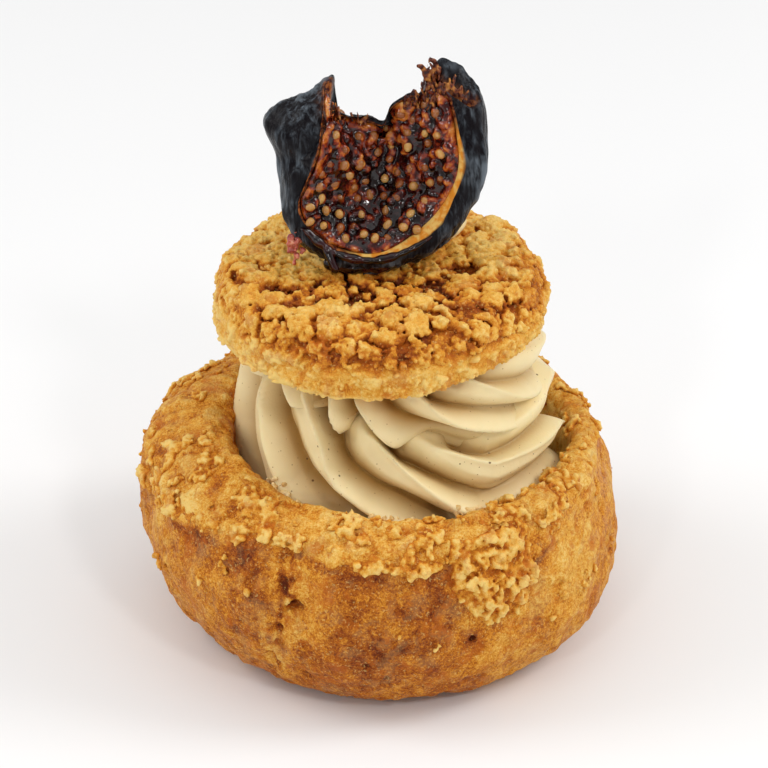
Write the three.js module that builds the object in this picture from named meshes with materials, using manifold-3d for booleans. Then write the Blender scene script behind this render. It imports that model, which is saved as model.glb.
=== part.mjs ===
// A filled choux bun: a hollowed choux shell, a star-piped cream filling that rises out of it,
// the cut-off crumble-topped cap, a dab of cream on the cap and a dried fig half standing in it.
// Millimetres, +Z up, origin on the resting plane under the middle of the shell, front towards -Y.

import * as THREE from "three";
import Module from "manifold-3d";

// ---- driving dimensions -------------------------------------------------------------------

const GAP = 0.3; // clearance kept between touching pieces
const GIRTH = 33; // widest radius of the choux shell
const FOOT = 20; // radius of the flat foot that the shell rests on
const HOLE_X = 2.4; // the opening and the cream sit this far right of the shell's middle
const RIM_Z = 28.2; // height of the shell's cut rim
const LID_Z = 46.2; // underside of the cap
const LID_RADIUS = 23.1;
const LID_TOP = 54.4; // top of the cap under the fig
const LID_CANT = 1.1; // how much higher the cap's cut face sits at its right edge

// ---- small helpers ------------------------------------------------------------------------

const rad = THREE.MathUtils.degToRad;
const smooth = (x, low, high) => THREE.MathUtils.smoothstep(x, low, high);
const cosDeg = (angle) => Math.cos(rad(angle));

// A smooth bump of height 1 at a compass angle, fading over width degrees to each side.
function bell(angle, at, width) {
  const away = THREE.MathUtils.euclideanModulo(angle - at + 180, 360) - 180;
  return Math.exp(-((away / width) ** 2));
}

// Rise of the cap's cut face, and of the cream under it, at a distance right of the middle.
const cant = (x) => LID_CANT * smooth(x, 2, 22);

// A smooth curve through [x, y] pairs, as a function from 0..1 to a point.
function curveThrough(pairs) {
  const curve = new THREE.SplineCurve(pairs.map(([x, y]) => new THREE.Vector2(x, y)));
  return (share) => curve.getPoint(share);
}

// A closed solid made of rings: pointAt(share, angle) gives the surface from one pole (share 0),
// where every angle meets, to the other (share 1). The angle runs counter-clockwise from above.
function ringSolid(rings, around, pointAt) {
  const points = [pointAt(0, 0)];
  for (let ring = 1; ring < rings; ring++)
    for (let step = 0; step < around; step++)
      points.push(pointAt(ring / rings, (360 * step) / around));
  points.push(pointAt(1, 0));
  const last = points.length - 1;
  const at = (ring, step) => 1 + (ring - 1) * around + (step % around);
  const faces = [];
  for (let step = 0; step < around; step++) {
    faces.push(0, at(1, step + 1), at(1, step));
    for (let ring = 1; ring < rings - 1; ring++) {
      const [a, b] = [at(ring, step), at(ring, step + 1)];
      const [c, d] = [at(ring + 1, step + 1), at(ring + 1, step)];
      faces.push(a, b, c, a, c, d);
    }
    faces.push(last, at(rings - 1, step), at(rings - 1, step + 1));
  }
  return new THREE.BufferGeometry().setFromPoints(points).setIndex(faces);
}

const polar = (x, y, radius, angle, z) =>
  new THREE.Vector3(x + radius * cosDeg(angle), y + radius * Math.sin(rad(angle)), z);

// ---- choux shell --------------------------------------------------------------------------

const OUTSIDE_END = 0.66; // share of the section where the outside ends and the hollow begins
const outside = curveThrough([
  [0, 0], [FOOT * 0.6, 0], [FOOT, 0], [26.1, 1.2], [30.7, 5.2], [GIRTH, 12],
  [32.7, 18.6], [31, 24.2], [28.2, 27.3], [25.6, RIM_Z], [24.5, RIM_Z - 0.2],
]);
const hollow = curveThrough([
  [24.1, RIM_Z - 1.2], [23.9, 25.6], [23.2, 22], [21.4, 15.5], [17, 10], [9, 7.6], [0, 7.2],
]);

// Vertical splits where the choux tore as it rose: compass angle, width in degrees, depth.
const SPLITS = [
  { at: 249, width: 5, depth: 1.5 },
  { at: 193, width: 6, depth: 1.3 },
  { at: 306, width: 4, depth: 0.7 },
  { at: 62, width: 6, depth: 1.2 },
  { at: 128, width: 5, depth: 1.0 },
];

function shellRadius(radius, z, angle) {
  const wall = smooth(z, 1, 8) * (1 - 0.6 * smooth(z, 22, RIM_Z));
  const lobes = 0.5 * cosDeg(2 * (angle - 20)) + 0.35 * cosDeg(5 * (angle - 33));
  const undercut = bell(angle, 222, 32) * (1 - smooth(z, 4, 13));
  const bulge = 0.7 * bell(angle, 320, 36) * (1 - smooth(z, 8, 16));
  const splits = SPLITS.reduce((sum, s) => sum + s.depth * bell(angle, s.at, s.width), 0);
  return radius + (lobes - splits) * wall + (bulge - 1.5 * undercut) * smooth(z, 0.1, 2);
}

// How far the left side has risen above the right, and the height of the cut rim, which is
// highest at the back.
function shellLift(z, angle) {
  const lean = 2.6 * cosDeg(angle - 180) * bell(z, 15, 9);
  const waves = 0.35 * cosDeg(3 * (angle - 80)) + 0.25 * cosDeg(7 * angle);
  return lean + (waves + 1 + cosDeg(angle - 135)) * smooth(z, 18, RIM_Z);
}

function shellPoint(share, angle) {
  if (share <= OUTSIDE_END) {
    const p = outside(share / OUTSIDE_END);
    const z = Math.max(0, p.y);
    const radius = p.x ? shellRadius(p.x, z, angle) : 0;
    const middle = HOLE_X * smooth(z, 24.5, RIM_Z);
    return polar(middle, 0, radius, angle, z + shellLift(z, angle) * smooth(z, 0, 1));
  }
  const p = hollow((share - OUTSIDE_END) / (1 - OUTSIDE_END));
  return polar(HOLE_X, 0, p.x, angle, p.y + shellLift(p.y, angle) * smooth(p.y, 22, 27));
}

// ---- piped cream --------------------------------------------------------------------------

const RIDGES = 11; // teeth of the star nozzle
const RIDGE_DEPTH = 4;
const TWIST_Z = 33; // height at which a ridge stands at its own phase angle
const STEPS_PER_RIDGE = 5;

// Degrees that a ridge moves on for each millimetre it drops: steep on the left, flat on the right.
const twistRate = (phase) => 4.8 - 3.6 * cosDeg(phase - 165);

// 1 on the crest, 0 in the groove, with broad flanks and a narrow groove.
function ridge(phase) {
  const share = THREE.MathUtils.euclideanModulo((phase - 14) * RIDGES, 360) / 360;
  return 1 - Math.abs(2 * share - 1) ** 1.4;
}

// Height of the seam where the upper coil lies on the lower one: high at the left.
const seamHeight = (angle) => 38 - 4.2 * cosDeg(angle - 325);
const SEAM = 38; // seam height that the section below is drawn for

const creamSection = curveThrough([
  [0, 7.6], [10, 8.4], [18.4, 12.5], [21.8, 18.5], [22.9, 22.6], [23.3, 26], [23.1, 29], [23.6, 32],
  [23.1, 35], [21, 37.4], [18, SEAM], [18.8, 39], [19.6, 41], [19.2, 43.4], [17.6, 45.4],
  [14, LID_Z - GAP], [7, LID_Z - GAP], [0, LID_Z - GAP],
]);

function creamPoint(share, phase) {
  const p = creamSection(share);
  const top = LID_Z - GAP;
  const bottom = 29;
  const shift = seamHeight(phase) - SEAM;
  const span = p.y < SEAM ? smooth(p.y, bottom, SEAM) : Math.max(0, (top - p.y) / (top - SEAM));
  const z = Math.min(top, p.y + shift * span);
  const angle = phase - twistRate(phase) * (z - TWIST_Z);
  const piped = smooth(z, 25.5, 29) * smooth(p.x, 3, 15);
  const point = polar(HOLE_X, 0, p.x - RIDGE_DEPTH * (1 - ridge(phase)) * piped, angle, z);
  point.z += cant(point.x) * smooth(z, SEAM, top);
  return point;
}

// ---- cap ----------------------------------------------------------------------------------

const lidSection = curveThrough([
  [0, LID_Z + 0.2], [14, LID_Z + 0.1], [21.3, LID_Z], [22.7, LID_Z + 0.7], [LID_RADIUS, LID_Z + 3],
  [LID_RADIUS - 0.1, LID_Z + 5.5], [22.2, LID_Z + 7.4], [19, LID_Z + 8.6], [14, LID_Z + 8.7],
  [8, LID_TOP], [0, LID_TOP],
]);

// Crumble lumps on the cap: crossed waves, about 4 mm from lump to lump.
function crumble(x, y) {
  const across = Math.sin(1.55 * x + 0.9 * Math.sin(0.8 * y)) * Math.sin(1.7 * y + 0.7 * Math.sin(0.9 * x));
  return 0.65 * across + 0.3 * Math.sin(0.9 * x - 1.1 * y);
}

function lidPoint(share, angle) {
  const p = lidSection(share);
  const crust = smooth(p.y, LID_Z + 2, LID_Z + 6) * smooth(p.x, 11, 15);
  const outline = 0.45 * cosDeg(3 * (angle - 15)) + 0.3 * cosDeg(5 * (angle + 20));
  const radius = p.x + outline * smooth(p.x, 8, 20);
  const lump = crumble(radius * cosDeg(angle), radius * Math.sin(rad(angle))) * crust;
  const point = polar(0, 0, radius + 0.5 * lump * smooth(p.x, 18, 22), angle, p.y + lump);
  point.z += cant(point.x) * (1 - smooth(p.y, LID_Z + 1, LID_Z + 5));
  return point;
}

// ---- fig half -----------------------------------------------------------------------------

const FIG_AT = new THREE.Vector3(-0.7, 0.6, 67.6); // middle of the fig's cut face
const FIG_LEAN = 18; // degrees that the cut face leans back from upright
const FIG_SKIN = 0.9;
const FIG_BACK = 8; // depth of the fig behind its widest outline
const FLESH_AT = [0.6, -1.2, -3]; // deepest point of the sunken flesh

// Ribs round the cut face, counter-clockwise from the right as seen from the front. Each has a
// point of the widest outline [right, up] and one of the turned-in lip [right, up, forward].
const FIG_RIBS = [
  { outline: [15, 1.4], lip: [11.8, 1.6, 3] },
  { outline: [15, 6.2], lip: [11.2, 6.4, 3.2] },
  { outline: [14.4, 10.9], lip: [10.2, 10.2, 2.8] },
  { outline: [12.9, 13.7], lip: [9.3, 12.3, 1.8] },
  { outline: [9.8, 14.8], lip: [8.6, 13.4, 0.8] },
  { outline: [7.7, 14.8], lip: [7.4, 13.5, 0.4] },
  { outline: [6.9, 11.6], lip: [6.6, 11.2, 0] },
  { outline: [4.3, 10.8], lip: [4.1, 10.3, -0.2] },
  { outline: [2.2, 9.5], lip: [2.1, 8.9, -0.6] },
  { outline: [1.2, 7.2], lip: [1.2, 6.7, -1.2] },
  { outline: [-0.6, 7.6], lip: [-0.6, 7, -1.2] },
  { outline: [-4.2, 8.2], lip: [-3.7, 7.8, -0.8] },
  { outline: [-5.9, 8.7], lip: [-5.9, 8.4, 1] },
  { outline: [-4.9, 10.6], lip: [-5.6, 10.2, 2.8] },
  { outline: [-5.5, 13], lip: [-6.2, 12.2, 3.4] },
  { outline: [-8.6, 11], lip: [-6.9, 9.6, 4.4] },
  { outline: [-12.6, 9.9], lip: [-7.2, 7, 5.4] },
  { outline: [-14.9, 7], lip: [-7.5, 4.4, 5.8] },
  { outline: [-13.2, 2.9], lip: [-8.3, 1.8, 5.4] },
  { outline: [-12.4, -1.4], lip: [-9.4, -0.8, 4.6] },
  { outline: [-11.8, -5.6], lip: [-10.3, -3.9, 3.6] },
  { outline: [-9.9, -9.4], lip: [-8.9, -7, 3] },
  { outline: [-5.2, -12.6], lip: [-5, -10.1, 2.6] },
  { outline: [0.4, -13.2], lip: [-0.2, -11.1, 2.4] },
  { outline: [5.4, -11.8], lip: [4.2, -9.9, 2.4] },
  { outline: [9.8, -8.9], lip: [8.5, -7.1, 2.6] },
  { outline: [13.1, -4.2], lip: [10.8, -2.8, 2.8] },
];
const closedCurve = (points) =>
  new THREE.CatmullRomCurve3(points.map(([x, y, z = 0]) => new THREE.Vector3(x, y, z)), true);
const figOutline = closedCurve(FIG_RIBS.map((rib) => rib.outline));
const figLip = closedCurve(FIG_RIBS.map((rib) => rib.lip));

const BELLY = 0.4; // share of the way where the fig is widest
const LIP = 0.62; // share where the skin turns over into the cut rind
const RIND = 0.69; // share where the rind ends and the flesh begins

// A point of the fig in its own frame: x right, y up the cut face, z forward out of it.
function figLocal(share, angle) {
  const edge = figOutline.getPoint(angle / 360);
  const lip = figLip.getPoint(angle / 360);
  if (share <= BELLY) {
    const turn = rad((share / BELLY) * 90);
    return edge.multiplyScalar(Math.sin(turn)).setZ(-FIG_BACK * Math.cos(turn));
  }
  if (share <= LIP) {
    const turn = rad(((share - BELLY) / (LIP - BELLY)) * 90);
    return edge.lerp(lip, 1 - Math.cos(turn)).setZ(lip.z * Math.sin(turn));
  }
  const flesh = new THREE.Vector3(...FLESH_AT);
  const rindEnd = lip.clone().lerp(flesh, FIG_SKIN / lip.distanceTo(flesh));
  if (share <= RIND) return lip.lerp(rindEnd, (share - LIP) / (RIND - LIP));
  const inwards = (share - RIND) / (1 - RIND);
  const sunk = THREE.MathUtils.lerp(rindEnd.z, flesh.z, Math.sin(rad(90 * inwards)));
  return rindEnd.lerp(flesh, inwards).setZ(sunk);
}

function figPoint(share, angle) {
  const p = figLocal(share, angle % 360);
  const lean = rad(FIG_LEAN);
  return new THREE.Vector3(
    FIG_AT.x + p.x,
    FIG_AT.y + p.y * Math.sin(lean) - p.z * Math.cos(lean),
    FIG_AT.z + p.y * Math.cos(lean) + p.z * Math.sin(lean),
  );
}

// ---- cream dab under the fig --------------------------------------------------------------

const DAB = { x: -0.6, y: 7.8, halfWidth: 13.4, halfDepth: 6.6, height: 6.6 };
const dabSection = curveThrough([[0, 0], [0.8, 0], [1, 0.16], [0.93, 0.5], [0.66, 0.85], [0.3, 1], [0, 1]]);

function dabPoint(share, angle) {
  const p = dabSection(share);
  const swell = 1 + 0.06 * cosDeg(3 * angle + 140 * p.y);
  return new THREE.Vector3(
    DAB.x + DAB.halfWidth * p.x * swell * cosDeg(angle),
    DAB.y + DAB.halfDepth * p.x * swell * Math.sin(rad(angle)),
    LID_TOP + 2 * GAP + DAB.height * Math.max(0, p.y),
  );
}

// ---- joining and cutting ------------------------------------------------------------------

const wasm = await Module();
wasm.setup();

function toSolid(geometry) {
  return new wasm.Manifold(
    new wasm.Mesh({
      numProp: 3,
      vertProperties: geometry.getAttribute("position").array,
      triVerts: new Uint32Array(geometry.index.array),
    }),
  );
}

function toGeometry(solid) {
  const made = solid.getMesh();
  return new THREE.BufferGeometry()
    .setAttribute("position", new THREE.BufferAttribute(made.vertProperties, 3))
    .setIndex(new THREE.BufferAttribute(made.triVerts, 1));
}

// The solid scaled a little about a point, so that cutting with it leaves a clearance.
function grown(solid, centre, factor) {
  return solid
    .translate([-centre.x, -centre.y, -centre.z])
    .scale(factor)
    .translate([centre.x, centre.y, centre.z]);
}

// ---- the pieces ---------------------------------------------------------------------------

const shellGeometry = () => ringSolid(24, 56, shellPoint);

const creamGeometry = () => ringSolid(29, RIDGES * STEPS_PER_RIDGE, creamPoint);
const lidGeometry = () => ringSolid(16, 42, lidPoint);
const figGeometry = () => ringSolid(18, 2 * FIG_RIBS.length, figPoint);

function dabGeometry(fig, lid) {
  const mound = toSolid(ringSolid(7, 20, dabPoint));
  const room = grown(toSolid(fig), FIG_AT, 1.035);
  const seat = toSolid(lid).translate([0, 0, GAP]);
  return toGeometry(mound.subtract(room).subtract(seat));
}

function piece(name, geometry, color, roughness) {
  const material = new THREE.MeshStandardMaterial({ color, roughness, metalness: 0 });
  geometry.computeVertexNormals();
  const mesh = new THREE.Mesh(geometry, material);
  mesh.name = name;
  return mesh;
}

const lid = lidGeometry();
const fig = figGeometry();
const bun = new THREE.Group();
bun.add(
  piece("choux_shell", shellGeometry(), 0xc98a3f, 0.8),
  piece("piped_cream", creamGeometry(), 0xd8c39a, 0.45),
  piece("choux_cap", lid, 0xd9a352, 0.85),
  piece("cream_dab", dabGeometry(fig, lid), 0xdcc08a, 0.45),
  piece("fig_half", fig, 0x2b2c33, 0.4),
);

// The whole is centred over the origin and rests on z = 0.
const box = new THREE.Box3().setFromObject(bun);
const middle = box.getCenter(new THREE.Vector3());
bun.position.set(-middle.x, -middle.y, -box.min.z);

export default bun;
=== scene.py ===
"""Looks of the filled choux bun: crusts, crumble, piped cream and the dried fig half.

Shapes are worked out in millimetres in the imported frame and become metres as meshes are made.
Crusts, crumble, flesh and syrup are carved in signed distance fields; the piped cream and the
fig's skin are dense ring surfaces. Everything random is seeded.
"""

import math

import bpy
import numpy as np
import openvdb
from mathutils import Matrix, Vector


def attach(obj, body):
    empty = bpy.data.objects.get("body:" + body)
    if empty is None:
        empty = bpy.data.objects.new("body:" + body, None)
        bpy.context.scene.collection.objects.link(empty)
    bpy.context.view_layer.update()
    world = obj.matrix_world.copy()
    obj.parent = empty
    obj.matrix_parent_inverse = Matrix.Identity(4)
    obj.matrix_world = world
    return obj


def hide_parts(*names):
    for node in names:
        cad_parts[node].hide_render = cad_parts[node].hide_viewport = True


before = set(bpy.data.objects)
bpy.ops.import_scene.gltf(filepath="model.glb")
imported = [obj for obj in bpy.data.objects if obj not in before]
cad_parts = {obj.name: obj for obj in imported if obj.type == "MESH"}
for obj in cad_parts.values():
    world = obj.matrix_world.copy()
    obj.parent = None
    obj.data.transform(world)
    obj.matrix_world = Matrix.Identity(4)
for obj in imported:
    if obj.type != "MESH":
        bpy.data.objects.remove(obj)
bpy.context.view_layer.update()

MM = 0.001
LATTICE = 32  # cells along each side of the repeating block of random values
# Turns the block off the part's own axes.
TURN = np.array([[0.36, 0.48, -0.8], [-0.8, 0.6, 0.0], [0.48, 0.64, 0.6]], np.float32)
# Most triangles of each carved piece that is thinned out.
MOST = {"choux_crust": 184000, "choux_crumbs": 128000, "cap_crumbs": 192000, "cap_crust": 98000,
        "rim_crumbs": 50000, "cream_dab_look": 16000, "fig_flesh": 90000}


# ---- numbers and noise --------------------------------------------------------------------

def smooth(x, low, high):
    """0 up to `low`, 1 from `high` on, an S curve between."""
    t = np.clip((x - low) / (high - low), 0, 1)
    return t * t * (3 - 2 * t)


def hill(away, width):
    """1 where `away` is 0, falling off over `width`."""
    return np.exp(-(away / width) ** 2)


def bell(angle, at, width):
    """A hill over compass angles in degrees."""
    return hill((angle - at + 180) % 360 - 180, width)


def stretched(points, x=1, y=1, z=1):
    """Points scaled along each axis: noise read at them is drawn out where the factor is small."""
    return points * np.array([x, y, z], points.dtype)


def corners(f):
    """The corners (i, j, k) of a cell with their weights for the places `f` in it."""
    for i in (0, 1):
        for j in (0, 1):
            for k in (0, 1):
                yield i, j, k, ((f[:, 0] if i else 1 - f[:, 0]) * (f[:, 1] if j else 1 - f[:, 1])
                                * (f[:, 2] if k else 1 - f[:, 2]))


def noise(points, size, seed):
    """Smooth random values in -1..1 with lumps about `size` mm apart."""
    lattice = np.random.default_rng(seed).uniform(-1, 1, (LATTICE,) * 3).astype(np.float32)
    q = (np.asarray(points, np.float32) @ TURN) / np.float32(size) + np.float32(seed % 17)
    cell = np.floor(q)
    f = q - cell
    f = f * f * (3 - 2 * f)
    low = cell.astype(np.int32) & (LATTICE - 1)
    ends = low, (low + 1) & (LATTICE - 1)
    return sum(weight * lattice[ends[i][:, 0], ends[j][:, 1], ends[k][:, 2]] for i, j, k, weight in corners(f))


def noises(points, *terms):
    """A sum of noises, each given as (gain, size in mm, seed)."""
    return sum(gain * noise(points, size, seed) for gain, size, seed in terms)


def fractal(points, size, octaves, seed, gain=0.55):
    """Noise with ever finer octaves, in -1..1."""
    total, weight, full = 0, 1.0, 0.0
    for octave in range(octaves):
        total = total + weight * noise(points, size / 2 ** octave, seed + octave)
        full += weight
        weight *= gain
    return total / full


def polyline_distance(x, y, lines):
    """Distance from chart points (x, y) to the nearest of several polylines."""
    best = np.full(x.shape, 1e9, np.float32)
    for line in lines:
        for (ax, ay), (bx, by) in zip(line[:-1], line[1:]):
            dx, dy = bx - ax, by - ay
            t = np.clip(((x - ax) * dx + (y - ay) * dy) / (dx * dx + dy * dy), 0, 1)
            best = np.minimum(best, np.hypot(x - ax - t * dx, y - ay - t * dy))
    return best


def table(pairs, x):
    """Straight-line reading of a table of (x, y) pairs that repeats every 360."""
    xs, ys = zip(*pairs)
    return np.interp(x % 360, xs, ys, period=360)


def random_turn(rng):
    """A rotation matrix of any direction."""
    q = rng.normal(size=4)
    w, x, y, z = q / np.linalg.norm(q)
    return np.array([[1 - 2 * (y * y + z * z), 2 * (x * y - z * w), 2 * (x * z + y * w)],
                     [2 * (x * y + z * w), 1 - 2 * (x * x + z * z), 2 * (y * z - x * w)],
                     [2 * (x * z - y * w), 2 * (y * z + x * w), 1 - 2 * (x * x + y * y)]])


# ---- signed distance fields ---------------------------------------------------------------

class Field:
    """A signed distance field in millimetres on a regular grid, negative inside."""

    def __init__(self, low, high, step, fill):
        self.step = step
        self.first = np.floor(np.array(low) / step).astype(int)
        size = np.ceil(np.array(high) / step).astype(int) - self.first + 1
        self.value = np.full(tuple(size), fill, np.float32)

    def load(self, points, faces, band=8):
        """Take in a closed mesh of triangles or of quads, true to `band` cells from its surface."""
        polygons = [np.zeros((0, sides), np.uint32) for sides in (3, 4)]
        polygons[faces.shape[1] - 3] = faces.astype(np.uint32)
        grid = openvdb.FloatGrid.createLevelSetFromPolygons(
            np.asarray(points, np.float32), *polygons, openvdb.createLinearTransform(voxelSize=self.step), band)
        grid.copyToArray(self.value, ijk=tuple(int(i) for i in self.first))
        return self

    def blur(self, radius):
        """Two box passes along each axis, close to a Gaussian of the given radius."""
        half = max(1, int(round(radius / self.step)))
        for axis in range(3):
            v = np.moveaxis(self.value, axis, 0)
            for _ in range(2):
                padded = np.concatenate([v[:1]] * (half + 1) + [v] + [v[-1:]] * half)
                total = np.cumsum(padded, axis=0, dtype=np.float64)
                v = ((total[2 * half + 1:] - total[:-2 * half - 1]) / (2 * half + 1)).astype(np.float32)
            self.value = np.ascontiguousarray(np.moveaxis(v, 0, axis))
        return self

    def copy(self):
        other = Field.__new__(Field)
        other.step, other.first, other.value = self.step, self.first, self.value.copy()
        return other

    def near(self, reach):
        """Indices and positions of the cells within `reach` of the surface."""
        where = np.nonzero(np.abs(self.value) < reach)
        at = (np.stack(where, -1) + self.first).astype(np.float32) * np.float32(self.step)
        return where, at

    def roughen(self, reach, *terms):
        """Push the surface out and in by a sum of noises."""
        where, p = self.near(reach)
        self.value[where] -= noises(p, *terms)

    def blob(self, centre, radii, turn=None, blend=0.2, cut=False):
        """Add an ellipsoid, or cut it out, with a soft join."""
        centre = np.asarray(centre, float)
        radii = np.broadcast_to(np.asarray(radii, float), (3,))
        reach = float(radii.max()) + 2 * blend + 2 * self.step
        low = np.floor((centre - reach) / self.step).astype(int) - self.first
        high = np.ceil((centre + reach) / self.step).astype(int) - self.first + 1
        low = np.maximum(low, 0)
        high = np.minimum(high, self.value.shape)
        if (high <= low).any():
            return
        axes = [((np.arange(low[i], high[i]) + self.first[i]) * self.step - centre[i]).astype(np.float32)
                for i in range(3)]
        x, y, z = axes[0][:, None, None], axes[1][None, :, None], axes[2][None, None, :]
        if turn is None:
            scaled = (x / radii[0]) ** 2 + (y / radii[1]) ** 2 + (z / radii[2]) ** 2
        else:
            scaled = sum(((x * turn[0, i] + y * turn[1, i] + z * turn[2, i]) / radii[i]) ** 2
                         for i in range(3))
        ball = (np.sqrt(scaled) - 1) * float(radii.min())
        part = self.value[low[0]:high[0], low[1]:high[1], low[2]:high[2]]
        a, b = (-part, ball) if cut else (part, ball)
        h = np.clip(0.5 + 0.5 * (b - a) / blend, 0, 1)
        merged = b * (1 - h) + a * h - blend * h * (1 - h)
        part[...] = -merged if cut else merged

    def lump(self, at, size, spread, rng, blend):
        """Add an ellipsoid of about `size`, its radii drawn from size * spread, turned at random."""
        self.blob(at, size * rng.uniform(*spread, 3), random_turn(rng), blend)

    def sample(self, points):
        """Value at free points, straight-line between cells."""
        q = np.asarray(points) / self.step - self.first
        cell = np.clip(np.floor(q).astype(int), 0, np.array(self.value.shape) - 2)
        return sum(weight * self.value[cell[:, 0] + i, cell[:, 1] + j, cell[:, 2] + k]
                   for i, j, k, weight in corners(np.clip(q - cell, 0, 1)))

    def slope(self, points):
        """Unit outward direction at free points."""
        made = np.stack([self.sample(points + d) - self.sample(points - d) for d in np.eye(3) * self.step], -1)
        return made / np.maximum(np.linalg.norm(made, axis=1, keepdims=True), 1e-6)

    def relief(self, points, radius, depth):
        """How far points of the surface stand above its blurred form, in units of `depth` mm."""
        return np.clip(self.copy().blur(radius).sample(points) / depth, -1.5, 1.5)

    def mesh(self):
        """Points in millimetres and outward quads of the zero surface."""
        grid = openvdb.FloatGrid(float(self.value.max()))
        grid.copyFromArray(self.value)
        points, quads = grid.convertToQuads(isovalue=0.0)
        return (points + self.first) * self.step, quads


def scattered(points, weight, gap, rng):
    """One point from each cell `gap` mm wide, kept as often as its weight says."""
    order = rng.permutation(len(points))
    cells = np.floor(points[order] / gap + rng.random(3)).astype(np.int64) + 4096
    _, first = np.unique((cells[:, 0] * 8192 + cells[:, 1]) * 8192 + cells[:, 2], return_index=True)
    chosen = order[first]
    return chosen[rng.random(len(chosen)) < weight[chosen]]


class Clods:
    """Crumb clods: centres scattered on a surface, each owning the points nearest to it."""

    def __init__(self, base, size, seed):
        rng = np.random.default_rng(seed)
        points, _ = base.mesh()
        chosen = scattered(points, np.ones(len(points)), size, rng)
        self.centres = points[chosen].astype(np.float32)
        self.numbers = rng.uniform(-1, 1, len(chosen)).astype(np.float32)
        self.seed = seed

    def at(self, p):
        """How far in mm each point lies inside its clod, and the clod's own number in -1..1."""
        p = np.asarray(p, np.float32)
        p = p + np.stack([noises(p, (0.75, 1.7, self.seed + k), (0.4, 0.8, self.seed + k + 3)) for k in range(3)], -1)
        inside, number = np.empty(len(p), np.float32), np.empty(len(p), np.float32)
        square = (self.centres ** 2).sum(1)
        at_once = 20000  # points measured against all centres together
        for start in range(0, len(p), at_once):
            part = p[start:start + at_once]
            apart = (part ** 2).sum(1)[:, None] - 2 * part @ self.centres.T + square
            rows, owner = np.arange(len(part)), apart.argmin(1)
            nearest = np.sqrt(np.maximum(apart[rows, owner], 0))
            apart[rows, owner] = 1e9
            inside[start:start + at_once] = np.sqrt(apart.min(1)) - nearest
            number[start:start + at_once] = self.numbers[owner]
        return inside, number


def crumbled(base, height, cover, gap, grain, seed):
    """A layer of fused crumbs on the surface `base`: clumps `height(p)` mm tall where that is
    above 0, with small grains of radius `grain` over the share `cover` of it."""
    rng = np.random.default_rng(seed)
    layer = base.copy()
    layer.value[:] = 1.5
    where, p = base.near(2.2)
    away = base.value[where]
    layer.value[where] = np.maximum(away - height(p), -away - 0.45)
    points, _ = layer.mesh()
    up = layer.slope(points)
    for i in scattered(points, smooth(base.sample(points), 0.0, 0.2) * cover, gap, rng):
        r = rng.uniform(*grain)
        layer.lump(points[i] + up[i] * r * rng.uniform(-0.1, 0.6), r, (0.65, 1.35), rng, 0.05)
    return layer


# ---- meshes -------------------------------------------------------------------------------

def mesh_arrays(mesh):
    """Points and triangles of a mesh."""
    mesh.calc_loop_triangles()
    points = np.empty(len(mesh.vertices) * 3, np.float32)
    mesh.vertices.foreach_get("co", points)
    triangles = np.empty(len(mesh.loop_triangles) * 3, np.int32)
    mesh.loop_triangles.foreach_get("vertices", triangles)
    return points.reshape(-1, 3), triangles.reshape(-1, 3)


def node_mesh(name):
    """A CAD node's triangles in millimetres."""
    points, triangles = mesh_arrays(bpy.data.objects[name].data)
    return points / MM, triangles


def raw_mesh(name, points, faces):
    faces = np.asarray(faces, np.int32)
    mesh = bpy.data.meshes.new(name)
    mesh.vertices.add(len(points))
    mesh.vertices.foreach_set("co", np.asarray(points, np.float32).ravel())
    mesh.loops.add(faces.size)
    mesh.loops.foreach_set("vertex_index", faces.ravel())
    mesh.polygons.add(len(faces))
    mesh.polygons.foreach_set("loop_start", np.arange(0, faces.size, faces.shape[1], dtype=np.int32))
    mesh.update(calc_edges=True)
    mesh.validate()
    return mesh


def carved(name, field):
    """A field's surface with at most the piece's share of triangles, taken from where it is flattest."""
    points, faces = field.mesh()
    mesh = raw_mesh("thinned", points, faces)
    piece = bpy.data.objects.new("thinned", mesh)
    bpy.context.scene.collection.objects.link(piece)
    thin = piece.modifiers.new("thin", "DECIMATE")
    thin.ratio = min(1.0, MOST[name] / (2 * len(faces)))
    points, triangles = mesh_arrays(piece.evaluated_get(bpy.context.evaluated_depsgraph_get()).to_mesh())
    bpy.data.objects.remove(piece)
    bpy.data.meshes.remove(mesh)
    return points.astype(float), triangles


def make(name, points, faces, material, slot, replaces=None, grainy=False, **attributes):
    """A mesh object that rides on the root body, smooth or with crisp grains."""
    mesh = raw_mesh(name, np.asarray(points, np.float32) * np.float32(MM), faces)
    if not grainy:
        mesh.shade_smooth()
    for key, values in attributes.items():
        data = mesh.attributes.new(key, "FLOAT", "POINT")
        data.data.foreach_set("value", np.asarray(values, np.float32))
    mesh.materials.append(material)
    piece = bpy.data.objects.new(name, mesh)
    bpy.context.scene.collection.objects.link(piece)
    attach(piece, "root")
    if replaces:
        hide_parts(replaces)


def ring_surface(grid):
    """A closed surface from rings of points (rows, around, 3), each end capped by one point."""
    rows, around, _ = grid.shape
    points = np.concatenate([grid.reshape(-1, 3), grid[0].mean(0)[None], grid[-1].mean(0)[None]])
    row, col = np.meshgrid(np.arange(rows - 1), np.arange(around), indexing="ij")
    a, b = row * around + col, row * around + (col + 1) % around
    sides = np.stack([a, b, b + around, a + around], -1).reshape(-1, 4)
    first = np.arange(0, around, 2)
    caps = []
    for cap, row, steps in ((0, 0, (2, 1, 0)), (1, rows - 1, (0, 1, 2))):
        tip = np.full_like(first, rows * around + cap)
        caps.append(np.stack([tip] + [row * around + (first + step) % around for step in steps], -1))
    return points, np.concatenate([sides] + caps)


# ---- materials ----------------------------------------------------------------------------

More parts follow.
